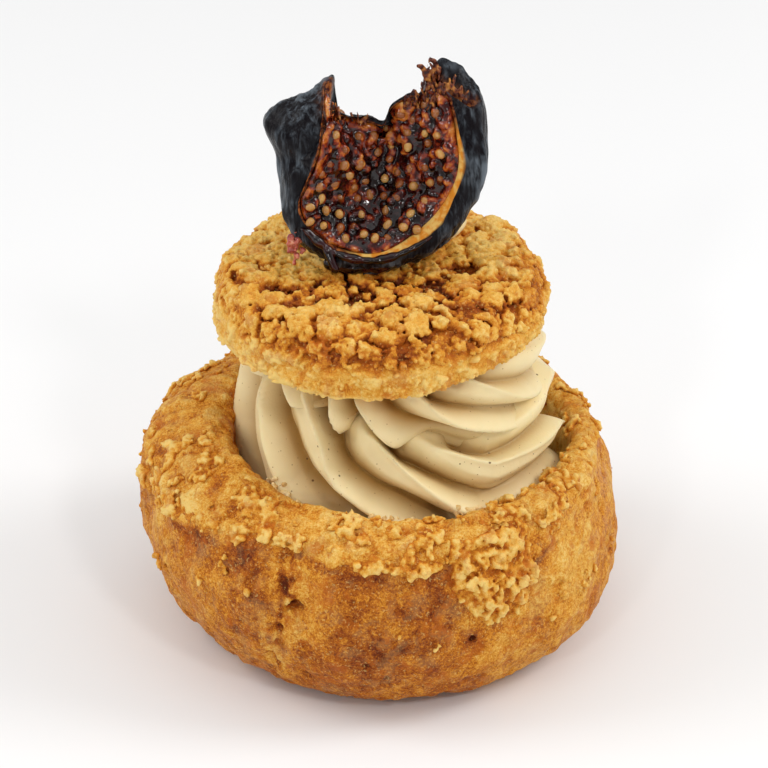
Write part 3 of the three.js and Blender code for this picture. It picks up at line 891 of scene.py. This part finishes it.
def build_cream(shell, material):
    """Both coils, the lower one reaching down to the shell's floor."""
    def foot(first):
        middle = np.array([OPENING_X, 0, 0])
        return np.array([(first - middle) * [share, share, 0] + middle + [0, 0, height] for share, height in FOOT])

    lines = CRESTS + extra_lines(18, 150, 5, 2.2, 23, 39)[1:], GROOVES + extra_lines(34, 166, 5, 2.2, 23, 40)
    points, quads, hollow = coil(
        rows=86, around=470, middle=13.8, tube_radius=9.5, tube_height=29.5, top=COIL_TOP, bottom=COIL_FOOT,
        lines=lines, depth=6.2, rise=(20, 26), base=foot,
        fill=lambda a, z: 0.7 * (1 - smooth(z, 26.5, 30)) * (1 - bell(a, 190, 30)))
    make("cream_swirl", points, quads, material, "cream", "piped_cream", hollow=hollow)
    build_rim_crumbs(shell, points)
    lines = CRESTS_UP + extra_lines(28, 212, 7, 2.6, 38, 46), GROOVES_UP + extra_lines(14, 197, 7, 2.6, 38, 46)
    points, quads, hollow = coil(
        rows=60, around=400, middle=12.4, tube_radius=8.4, tube_height=40.5, top=TOP_UP, bottom=SEAT,
        lines=lines, depth=5.0, rise=(30, 31), belly=0.5,
        base=lambda first: np.array([first * [0.5, 0.5, 1] + [OPENING_X * 0.5, 0, 1.2]]))
    # the lid presses the top flat
    points[:, 2] = np.minimum(points[:, 2], 45.85 + 1.1 * smooth(points[:, 0], 2, 22))
    make("cream_top", points, quads, material, "cream", hollow=hollow)


def build_dab(material):
    """The dab of cream behind the fig."""
    field = Field((-16, -1, 53), (16, 17, 63.5), step=0.25, fill=2).load(*node_mesh("cream_dab"))
    field.blur(0.5)
    field.blob((-12.6, 6.4, 59.3), (1.3, 1.1, 1.2), blend=0.9)
    where, p = field.near(1.2)
    field.value[where] += 0.8 * smooth(np.abs(p[:, 0] - 0.3), 9, 12.5)
    field.value[where] -= 0.22 * noise(stretched(p, x=0.4), 1.7, 35) + 0.08 * noise(p, 1.1, 36)
    make("cream_dab_look", *carved("cream_dab_look", field), material, "cream", "cream_dab")


# ---- fig ----------------------------------------------------------------------------------

FIG_AT = np.array([-0.415, 0.555, 67.6])
FIG_LEAN = math.radians(18)
FIG_BACK = 8.0  # depth of the fig behind its widest outline
SKIN_THICK = 1.1
SKIN_AROUND = 430  # points round each ring of the skin
FLESH_AT = np.array([0.6, -1.2, -3.0])
# Ribs round the cut face from the right: widest outline (x, y), then turned-in lip (x, y, z).
FIG_RIBS = [
    ((15, 1.4), (11.8, 1.6, 3)), ((15, 6.2), (11.2, 6.4, 3.2)), ((14.4, 10.9), (10.2, 10.2, 2.8)),
    ((12.4, 13.1), (9.0, 12.0, 1.9)), ((10.2, 14.7), (8.5, 13.4, 0.9)), ((8.3, 15.2), (7.6, 13.9, 0.4)),
    ((6.9, 11.6), (6.6, 11.2, 0)), ((4.3, 10.8), (4.1, 10.3, -0.2)), ((2.2, 9.5), (2.1, 8.9, -0.6)),
    ((1.2, 7.2), (1.2, 6.7, -1.2)), ((-0.6, 7.6), (-0.6, 7, -1.2)), ((-4.2, 8.2), (-3.7, 7.8, -0.8)),
    ((-6.3, 8.9), (-6.3, 8.5, 1)), ((-5.6, 10.6), (-6.8, 10.3, 2.4)), ((-5.5, 13.1), (-6.9, 12.3, 2.9)),
    ((-8.6, 11), (-6.9, 9.6, 4.4)), ((-12.6, 9.9), (-7.2, 7, 5.4)), ((-14.9, 7), (-7.5, 4.4, 5.8)),
    ((-13.2, 2.9), (-8.3, 1.8, 5.4)), ((-12.4, -1.4), (-9.4, -0.8, 4.6)), ((-11.8, -5.6), (-10.3, -3.9, 3.6)),
    ((-9.9, -9.4), (-8.9, -7, 3)), ((-5.2, -12.6), (-5, -10.1, 2.6)), ((0.4, -13.2), (-0.2, -11.1, 2.4)),
    ((5.4, -11.8), (4.2, -9.9, 2.4)), ((9.8, -8.9), (8.5, -7.1, 2.6)), ((13.1, -4.2), (10.8, -2.8, 2.8)),
]
# Width of the pale rind in mm at each rib; it is narrowest where the skin is torn or folded over.
RIND = [0.8, 0.55, 0.35] + [0.3] * 19 + [0.45, 0.7, 1.2, 1.9, 1.2]
# Lines on the cut face: the tear in the right flap, the fold of the left one, the cleft in the flesh.
SLIT = [[(8.2, 13.2), (9.4, 12.2), (11.0, 11.3), (13.2, 10.1)]]
FOLD = [[(-6.6, 9), (-9, 4.6), (-11.4, 2.8)], [(-11.4, 2.8), (-9.6, 1), (-9.7, -2)]]
CLEFT = [[(1.4, 8.5), (1.0, 5), (2.0, 2.4), (1.6, 0.5)]]
# Seeds that stand out, in the fig's own frame: x, y.
SEEDS = [
    (-8.7, -6), (-6.6, -4.7), (-6.9, -6.6), (-4.8, -5.2), (-1.9, -5.6), (-1.5, -8), (-4, -8.5), (0, -8.4),
    (1.7, -6.9), (3.9, -6.9), (5.6, -7.4), (4.8, -5.2), (1.3, -1), (5.1, -1.8), (7.4, -1), (6.7, -3.5), (6.7, 5.5),
    (8.3, 5.5), (-3.5, 0), (-5.3, 5.6), (-7.3, -3), (-8.6, -3.9), (2.2, 3.4), (4.4, 3.6), (8.8, 3),
]
SEED_COUNT, SEED_TRIES, SEED_GAP = 60, 6000, 1.55
SEED_RINGS, SEED_SIDES = 9, 16
# Tufts of fibres: place x, y, z, how many, spread across and up.
TUFTS = ((7.6, 13.2, 0.8, 46, 1.0, 1.5), (8.2, 10.6, 1.2, 24, 0.8, 1.4), (9.6, 12.1, 1.7, 20, 0.9, 0.4),
         (11.4, 11.1, 1.9, 14, 0.9, 0.3), (5.6, 10.0, 0.2, 30, 1.3, 0.9), (-2.4, 7.2, -0.6, 12, 2.0, 0.3),
         (-5.2, 8.4, 0.6, 8, 0.6, 0.6))
# Curled ends of torn skin at the top of the flap, as paths.
CURLS = (((7.0, 13.0, 1), (6.7, 14.0, 1.4), (6.2, 14.8, 1.9), (5.7, 14.8, 2.3)),
         ((8.0, 13.6, 0.8), (8.1, 14.6, 1.0), (7.9, 15.3, 1.5), (7.4, 15.6, 2.0)))


def closed_curve(points, share):
    """Smooth closed curve through the points at shares 0..1."""
    points = np.asarray(points, float)
    n = len(points)
    t = (np.asarray(share) % 1) * n
    i = np.floor(t).astype(int)
    f = (t - i)[:, None]
    p0, p1, p2, p3 = (points[(i + k) % n] for k in (-1, 0, 1, 2))
    return 0.5 * (2 * p1 + (p2 - p0) * f + (2 * p0 - 5 * p1 + 4 * p2 - p3) * f ** 2
                  + (3 * p1 - p0 - 3 * p2 + p3) * f ** 3)


def place_fig(p):
    """From the fig's own frame (x right, y up the cut face, z forward) to the part's."""
    s, c = math.sin(FIG_LEAN), math.cos(FIG_LEAN)
    return np.stack([p[..., 0], p[..., 1] * s - p[..., 2] * c, p[..., 1] * c + p[..., 2] * s], -1) + FIG_AT


def skin_material():
    """Near-black skin with blue-grey bloom and painted sheen on its wrinkles, pale where it is rind, red where torn.
    """
    n = Nodes("fig_skin")
    streak = n.noise(0.7, 4.0, 0.6, stretch=(1, 1, 0.18), bend=0.4)
    raised = n.total(streak, n.math("MULTIPLY", n.attribute("ridge"), 0.45))
    # painted sheen on the raised wrinkles, partly the skin's blue-grey bloom
    bloom_and_painted_sheen = n.math("MULTIPLY", n.within(raised, 0.42, 0.86), n.within(n.noise(4.0), 0.34, 0.58))
    dark = n.mix(n.noise(3.0), (0.0015, 0.002, 0.004), (0.008, 0.005, 0.006))
    color = n.mix(bloom_and_painted_sheen, dark, (0.12, 0.142, 0.165))
    yellow = n.mix(n.within(n.noise(1.3, 3.0), 0.4, 0.6), (0.72, 0.45, 0.12), (0.62, 0.22, 0.02))
    color = n.mix(n.attribute("rind"), color, yellow)
    red = n.mix(n.within(n.noise(0.6, 2.0), 0.4, 0.65), (0.05, 0.006, 0.004), (0.34, 0.10, 0.02))
    color = n.mix(n.attribute("torn"), color, red)
    normal = n.bump(n.total(n.scaled(streak, 0.8), n.scaled(n.noise(0.3), 0.12)), 0.2)
    return n.finish(color, n.within(n.noise(1.4, stretch=(1, 1, 0.3)), 0.35, 0.65, 0.12, 0.36), normal,
                    Specular_IOR_Level=0.1)


def build_skin():
    """The skin as a thin cup: out from the back, over the lip, across the rind and back inside.
    Returns the lip, the rind's widths and the way from the lip towards the flesh."""
    around = SKIN_AROUND
    share = np.arange(around) / around
    edge = np.concatenate([closed_curve([o for o, _ in FIG_RIBS], share), np.zeros((around, 1))], 1)
    lip = closed_curve([l for _, l in FIG_RIBS], share)
    rind = closed_curve([[width] for width in RIND], share)[:, 0]
    low = np.minimum(edge[:, 1], 8)

    def to_flesh(width):
        away = FLESH_AT - lip
        return lip + away / np.linalg.norm(away, axis=1, keepdims=True) * np.asarray(width)[:, None]

    def wall(turn, scale, back):
        row = edge * scale * np.sin(turn)
        row[:, 1] = scale * (low * np.sin(turn) + (edge[:, 1] - low) * np.sin(turn) ** 40)
        row[:, 2] = -back * np.cos(turn)
        return row

    rows = [wall(turn, 1.0, FIG_BACK) for turn in np.radians(np.linspace(3, 90, 40))]
    for turn in np.radians(np.linspace(0, 90, 26)[1:]):
        row = edge + (lip - edge) * (1 - np.cos(turn))
        row[:, 2] = lip[:, 2] * np.sin(turn)
        rows.append(row)
    for width in (0.25, 0.5, 0.75, 1.0):
        rows.append(to_flesh(rind * width) + [0, 0, 0.12 * math.sin(math.pi * width)])
    outer = len(rows)
    rows.append(to_flesh(rind + 0.1) - [0, 0, 0.9])
    rows += [wall(turn, 0.9, FIG_BACK - SKIN_THICK) for turn in np.radians([70, 50, 30, 12, 4])]
    grid = np.array(rows)
    flat = grid.reshape(-1, 3)
    x, y, z = flat.T
    # wrinkles run up the fig, and fan over the folded flap
    lift = noises(stretched(flat, y=0.28), (0.42, 2.6, 91), (0.32, 1.2, 92), (0.18, 0.6, 93))
    lift += 0.3 * noise(flat, 4.5, 94)
    slit = hill(polyline_distance(x, y, SLIT), 0.5) * (z > -1)
    lift -= 1.7 * slit
    lift -= 0.9 * hill(polyline_distance(x, y, FOLD), 0.9) * (z > 0)
    row_index = np.repeat(np.arange(len(rows)), around)
    outside = (row_index < outer - 4) * smooth(row_index, 0, 6)
    direction = flat - np.array([0, 0, -1.0])
    direction /= np.maximum(np.linalg.norm(direction, axis=1, keepdims=True), 1e-6)
    flat = flat + direction * (lift * outside)[:, None]
    points, quads = ring_surface(place_fig(flat.reshape(grid.shape)))
    is_rind = ((row_index >= outer - 4) & (row_index < outer)) * 1.0
    wide = smooth(np.tile(rind, len(rows)), 0.4, 0.6)
    horn = hill(np.hypot(x + 5.8, (y - 11.4) * 0.5), 1.25) * smooth(row_index, 42, 52)
    looks = {"rind": is_rind * wide, "torn": np.maximum.reduce([is_rind * (1 - wide), horn, slit]),
             "ridge": smooth(lift, -0.1, 0.9)}
    make("fig_skin", points, quads, skin_material(), "fig", "fig_half",
         **{key: np.append(values, [0, 0]) for key, values in looks.items()})
    return lip, rind, to_flesh


def flesh_material():
    """Wet flesh, from near black in its hollows to amber on its lumps."""
    n = Nodes("fig_flesh")
    lumps = n.noise(1.3, 3.0, 0.6, bend=0.5)
    tone = n.total(lumps, n.math("MULTIPLY", n.attribute("relief"), 0.15), n.scaled(n.noise(4.5), 0.45))
    color = n.ramp(tone, [(0.36, (0.006, 0.0004, 0.0006)), (0.50, (0.05, 0.003, 0.002)), (0.60, (0.24, 0.026, 0.005)),
                          (0.74, (0.52, 0.15, 0.02)), (0.92, (0.70, 0.36, 0.09))])
    return n.finish(color, n.patchy(0.8, 0.05, 0.14), n.bump(n.noise(1.0, 1.0), 0.12),
                    Specular_IOR_Level=0.5, Subsurface_Weight=0.2, Subsurface_Scale=0.0008,
                    Subsurface_Radius=(1.0, 0.25, 0.1))


def seeds_material():
    """Seeds, pale where `bare`, otherwise under a film of red flesh."""
    n = Nodes("fig_seeds")
    vary = n.noise(2.2, 1.0)
    pale = n.mix(vary, (0.50, 0.23, 0.045), (0.68, 0.42, 0.13))
    wet = n.mix(vary, (0.10, 0.012, 0.004), (0.42, 0.12, 0.018))
    return n.finish(n.mix(n.attribute("bare"), wet, pale), n.patchy(0.5, 0.06, 0.16), n.bump(n.noise(0.6), 0.03),
                    Specular_IOR_Level=0.6, Subsurface_Weight=0.25, Subsurface_Scale=0.0006)


def flesh_field(lip, rind, to_flesh):
    """The flesh as a shallow bowl inside the rind, before its seeds; also its rim."""
    rows = []
    for depth, scale in ((-6.2, 0.05), (-6.0, 0.3), (-5.0, 0.55), (-3.4, 0.72)):
        row = lip * [scale * 1.05, scale * 1.05, 0]
        row[:, 2] = depth
        rows.append(row)
    rows.append(to_flesh(rind + 0.1) - [0, 0, 1.6])
    rim = to_flesh(rind + (0.3 - 0.5 * smooth(rind, 0.5, 1.0)))
    rows.append(rim - [0, 0, 0.3])
    for inwards in np.linspace(0.06, 0.97, 16):
        row = rim + (FLESH_AT - rim) * inwards
        row[:, 2] = rim[:, 2] + (FLESH_AT[2] - rim[:, 2]) * math.sin(math.radians(90 * inwards ** 1.1))
        rows.append(row)
    field = Field((-14, -14, -8), (14, 16, 8), step=0.17, fill=1.2)
    return field.load(*ring_surface(np.array(rows)), band=7).blur(0.35), rim


def build_flesh(lip, rind, to_flesh):
    """The wet flesh and the seeds set into it."""
    field, rim = flesh_field(lip, rind, to_flesh)
    turns = np.arctan2(rim[:, 1] - FLESH_AT[1], rim[:, 0] - FLESH_AT[0])
    order = np.argsort(turns)
    reach = np.hypot(rim[:, 0] - FLESH_AT[0], rim[:, 1] - FLESH_AT[1])

    def margin(x, y):
        """Distance from a point of the cut face out to its rim."""
        turn = np.arctan2(y - FLESH_AT[1], x - FLESH_AT[0])
        return (np.interp(turn, turns[order], reach[order], period=2 * math.pi)
                - np.hypot(x - FLESH_AT[0], y - FLESH_AT[1]))

    where, p = field.near(1.1)
    pulp = stretched(p, y=0.6)
    lift = 0.6 * noise(p, 3.2, 101) + 0.38 * noise(pulp, 1.6, 102) + 0.24 * noise(pulp, 0.8, 103)
    lift -= 1.3 * hill(polyline_distance(p[:, 0], p[:, 1], CLEFT), 0.9)
    lift += 0.3 * noise(pulp, 0.7, 104) * smooth(p[:, 1], 5, 8)
    edge = smooth(margin(p[:, 0], p[:, 1]), 0.2, 1.8)
    field.value[where] -= (lift * (0.35 + 0.65 * edge) + 0.2 * (1 - edge)) * smooth(p[:, 2], -4.5, -3)
    rng = np.random.default_rng(17)
    points, _ = field.mesh()
    front = points[(field.slope(points)[:, 2] > 0.35) & (points[:, 1] < 7.5)
                   & (margin(points[:, 0], points[:, 1]) > 1.2)]
    for i in scattered(front, np.full(len(front), 0.7), 2.0, rng):
        r = rng.uniform(0.35, 0.65)
        field.lump(front[i], r, (0.7, 1.35), rng, 0.35)
    solid = field.value < 0
    highest = field.value.shape[2] - 1 - np.argmax(solid[:, :, ::-1], axis=2)

    def surface(x, y):
        """Height of the flesh under a place, or None beside it."""
        i, j = (int(round(v / field.step)) - first for v, first in zip((x, y), field.first))
        return (highest[i, j] + field.first[2]) * field.step if solid[i, j].any() else None

    spots = [(x, y, 1.0) for x, y in SEEDS]
    tries = 0
    while len(spots) < SEED_COUNT and tries < SEED_TRIES:
        tries += 1
        x, y = rng.uniform(-10, 11), rng.uniform(-10.5, 10)
        if min((x - a) ** 2 + (y - b) ** 2 for a, b, _ in spots) < SEED_GAP ** 2 or margin(x, y) < 1.1:
            continue
        if y > 1 and rng.random() < 0.5:
            continue
        z = surface(x, y)
        if z is not None and z >= -5:
            spots.append((x, y, rng.uniform(0, 0.4)))
    points, faces, bare, start = [], [], [], 0
    turn = np.linspace(0, math.pi, SEED_RINGS + 2)[1:-1]
    spin = np.radians(np.arange(SEED_SIDES) * (360 / SEED_SIDES))
    for x, y, show in spots:
        z = surface(x, y)
        if z is None:
            continue
        size = rng.uniform(0.9, 1.1)
        slim = rng.uniform(0.52, 0.62) * size
        along = 0.74 * size * np.cos(turn)
        wide = slim * np.sin(turn) * (1 + 0.18 * np.cos(turn))
        ball = np.stack([wide[:, None] * np.cos(spin), wide[:, None] * np.sin(spin),
                         np.broadcast_to(along[:, None], (SEED_RINGS, SEED_SIDES))], -1)[::-1]
        tilt = random_turn(rng)
        at = np.array([x, y, z + (-0.3 + 0.75 * show) * slim])
        seed, quads = ring_surface(ball @ tilt.T + at)
        points.append(seed)
        faces.append(quads + start)
        bare.append(np.full(len(seed), show * rng.uniform(0.55, 1.0)))
        start += len(seed)
        field.blob(at - [0, 0, 0.28], slim * 1.25, blend=0.4)
    flesh, triangles = carved("fig_flesh", field)
    relief = field.relief(flesh, 0.5, 0.2) + 0.6 * smooth(flesh[:, 1], -2, 6) - 0.3
    make("fig_flesh", place_fig(flesh), triangles, flesh_material(), "fig", relief=relief)
    make("fig_seeds", place_fig(np.concatenate(points)), np.concatenate(faces), seeds_material(), "fig",
         bare=np.concatenate(bare))


def build_fibres():
    """Shredded flesh at the split in the right flap and along the top of the flesh."""
    rng = np.random.default_rng(23)
    field = Field((-10, 4, -5), (15, 18, 6), step=0.14, fill=1.0)
    for x, y, z, count, wide, tall in TUFTS:
        for _ in range(count):
            at = np.array([x, y, z]) + rng.normal(size=3) * [wide, tall, 0.4] * 0.6
            long = rng.uniform(0.5, 1.1)
            thin = rng.uniform(0.12, 0.22)
            lean = rng.normal(size=3) * [0.5, 0, 0.4] + [0, 1, 0]
            lean /= np.linalg.norm(lean)
            side = np.cross(lean, rng.normal(size=3))
            side /= np.linalg.norm(side)
            field.blob(at, (thin, thin, long), np.stack([side, np.cross(lean, side), lean], -1), 0.1)
    for path in CURLS:
        xyz = np.array(path)
        for s in np.linspace(0, 1, 18):
            at = [np.interp(s * 3, range(4), xyz[:, k]) for k in range(3)]
            field.blob(at, (0.5 - 0.3 * s, 0.45 - 0.25 * s, 0.22), blend=0.15)
    field.roughen(0.5, (0.08, 0.6, 121))
    stops = [(0.38, (0.03, 0.004, 0.003)), (0.52, (0.17, 0.035, 0.008)), (0.7, (0.52, 0.21, 0.04))]
    material = simple_material("fig_fibres", stops, lumps=(0.8, 2.0), gloss=(0.6, 0.25, 0.5), grain=(0.3,),
                               depth_mm=0.05, Specular_IOR_Level=0.3)
    points, quads = field.mesh()
    make("fig_fibres", place_fig(points), quads, material, "fig")


def build_syrup():
    """Syrup along the fig's lower lip and below it, with one drip."""
    field = Field((-14, -16, 52), (8, 4, 62), step=0.15, fill=1.0)
    lower = closed_curve([l for _, l in FIG_RIBS], np.linspace(19.2, 24.8, 90) / len(FIG_RIBS))
    for k, p in enumerate(place_fig(lower + [-0.15, -0.2, 0.1])):
        r = (0.42 + 0.12 * math.sin(k * 0.4) + 0.08 * math.sin(k * 1.1)) * (0.3 + 0.7 * smooth(min(k, 89 - k), 0, 16))
        field.blob(p, r, blend=0.4)
    for x in np.linspace(-6.2, 1.6, 34):
        r = 0.62 + 0.16 * math.sin(x * 1.7) + 0.1 * math.sin(x * 4.1)
        field.blob(place_fig(np.array([x, -12.5 + 0.03 * (x + 2) ** 2, 0.9])), r, blend=0.5)
    start = place_fig(np.array([-6.4, -9.8, 2.9]))
    for s in np.linspace(0, 1, 14):
        p = start + np.array([1.1, -1.5, -2.6]) * s + [0, 0.6 * s * s, 0]
        field.blob(p, 0.5 - 0.25 * s + 0.2 * s * s, blend=0.35)
    n = Nodes("syrup")
    color = n.mix(n.within(n.noise(1.8), 0.4, 0.65), (0.003, 0.0006, 0.001), (0.03, 0.0015, 0.003))
    material = n.finish(color, n.patchy(1.2, 0.05, 0.1), n.bump(n.noise(0.8), 0.04), Specular_IOR_Level=0.5)
    make("syrup", *field.mesh(), material, "fig")


def build_chip():
    """A chip of fruit on the lid, at the left of the fig."""
    field = Field((-16, -10, 53), (-6, 2, 63), step=0.13, fill=1.0)
    rng = np.random.default_rng(29)
    for s in np.linspace(0, 1, 34):
        at = np.array([-11.4, -3.6, 60.4]) + np.array([0.3, -1.5, -2.7]) * s
        at += rng.normal(size=3) * [0.75 - 0.6 * s, 0.12, 0.25]
        field.lump(at, 0.46 - 0.16 * s, (0.5, 1.3), rng, 0.2)
    field.roughen(0.6, (0.12, 0.8, 111), (0.05, 0.4, 112))
    stops = [(0.3, (0.22, 0.015, 0.012)), (0.5, (0.48, 0.10, 0.055)), (0.7, (0.68, 0.30, 0.17))]
    material = simple_material("fruit_bits", stops, lumps=(0.9, 3.0), gloss=(0.6, 0.2, 0.45), grain=(0.3,),
                               depth_mm=0.06, Coat_Weight=0.4, Coat_Roughness=0.1, Subsurface_Weight=0.3,
                               Subsurface_Scale=0.0012)
    make("fruit_bits", *field.mesh(), material, "fig")


# ---- stage --------------------------------------------------------------------------------

# The sky: a faint glow all over and broad lobes, each with a direction, a sharpness and a strength.
SKY_GLOW = 0.05
SKY_LOBES = [((0.0, 0.05, 1.0), 3.0, 0.84), ((-1.0, 0.0, 0.6), 3.0, 0.61), ((1.0, 0.0, 0.55), 3.0, 0.53)]
LOBE_FLOOR = 0.5  # a lobe grows no weaker from 60 degrees off its middle on
# Lamps: name, place, width, power.
LAMPS = (("left_box", (-0.45, 0.02, 0.44), 0.24, 0.82), ("right_box", (0.45, 0.02, 0.42), 0.20, 1.02),
         ("lamp", (0.24, -0.46, 0.50), 0.08, 0.6), ("glint", (-0.20, -0.50, 0.40), 0.05, 0.3),
         ("low_glint", (-0.12, -0.62, 0.16), 0.05, 0.25))
LAMPS_AIM = Vector((0, 0, 0.045))
CAMERA_AIM = Vector((0.000785, 0, 0.0353))
CAMERA_RISE = math.radians(30.5)
CAMERA_AWAY = 0.45
CAMERA_LENS, CAMERA_SENSOR = 151.9, 36
FLOOR_HALF = 3
FLOOR_COLOR = (0.88, 0.88, 0.88, 1)


def build_sky():
    """A soft studio sky, brightest overhead and at either side."""
    n = Nodes("world", "worlds")
    direction = n.node("TexCoord", {}, "Generated")
    light = SKY_GLOW
    for toward, sharp, strength in SKY_LOBES:
        dot = n.node("VectorMath", {0: direction, 1: Vector(toward).normalized()}, "Value", operation="DOT_PRODUCT")
        lobe = n.math("POWER", n.math("MAXIMUM", dot, LOBE_FLOOR), sharp)
        light = n.math("MULTIPLY_ADD", lobe, strength, light)
    background = n.tree.nodes["Background"].inputs
    n.put(background["Color"], (1.0, 1.0, 1.0, 1))
    n.put(background["Strength"], light)
    bpy.context.scene.world = n.owner


def placed(name, data, at, aim):
    """An object at a place, looking at another."""
    made = bpy.data.objects.new(name, data)
    made.location = at
    made.rotation_euler = (aim - Vector(at)).to_track_quat("-Z", "Y").to_euler()
    bpy.context.scene.collection.objects.link(made)
    return made


def build_stage():
    """Floor, sky, lamps and camera."""
    mesh = bpy.data.meshes.new("floor")
    square = [(x * FLOOR_HALF, y * FLOOR_HALF, 0) for x, y in ((-1, -1), (1, -1), (1, 1), (-1, 1))]
    mesh.from_pydata(square, [], [(0, 1, 2, 3)])
    mesh.materials.append(Nodes("floor").finish(FLOOR_COLOR, 0.9, Specular_IOR_Level=0.1))
    floor = bpy.data.objects.new("floor", mesh)
    bpy.context.scene.collection.objects.link(floor)
    build_sky()
    for name, at, size, power in LAMPS:
        light = bpy.data.lights.new(name, "AREA")
        light.size = size
        light.energy = power
        placed(name, light, at, LAMPS_AIM)
    lens = bpy.data.cameras.new("camera")
    lens.lens = CAMERA_LENS
    lens.sensor_width = CAMERA_SENSOR
    at = CAMERA_AIM + CAMERA_AWAY * Vector((0, -math.cos(CAMERA_RISE), math.sin(CAMERA_RISE)))
    bpy.context.scene.camera = placed("camera", lens, at, CAMERA_AIM)
    bpy.context.scene.view_settings.view_transform = "Standard"


build_stage()
shell_field = build_shell()
build_shell_crumbs(shell_field)
build_cap()
cream = cream_material()
build_cream(shell_field, cream)
build_dab(cream)
build_flesh(*build_skin())
build_fibres()
build_syrup()
build_chip()
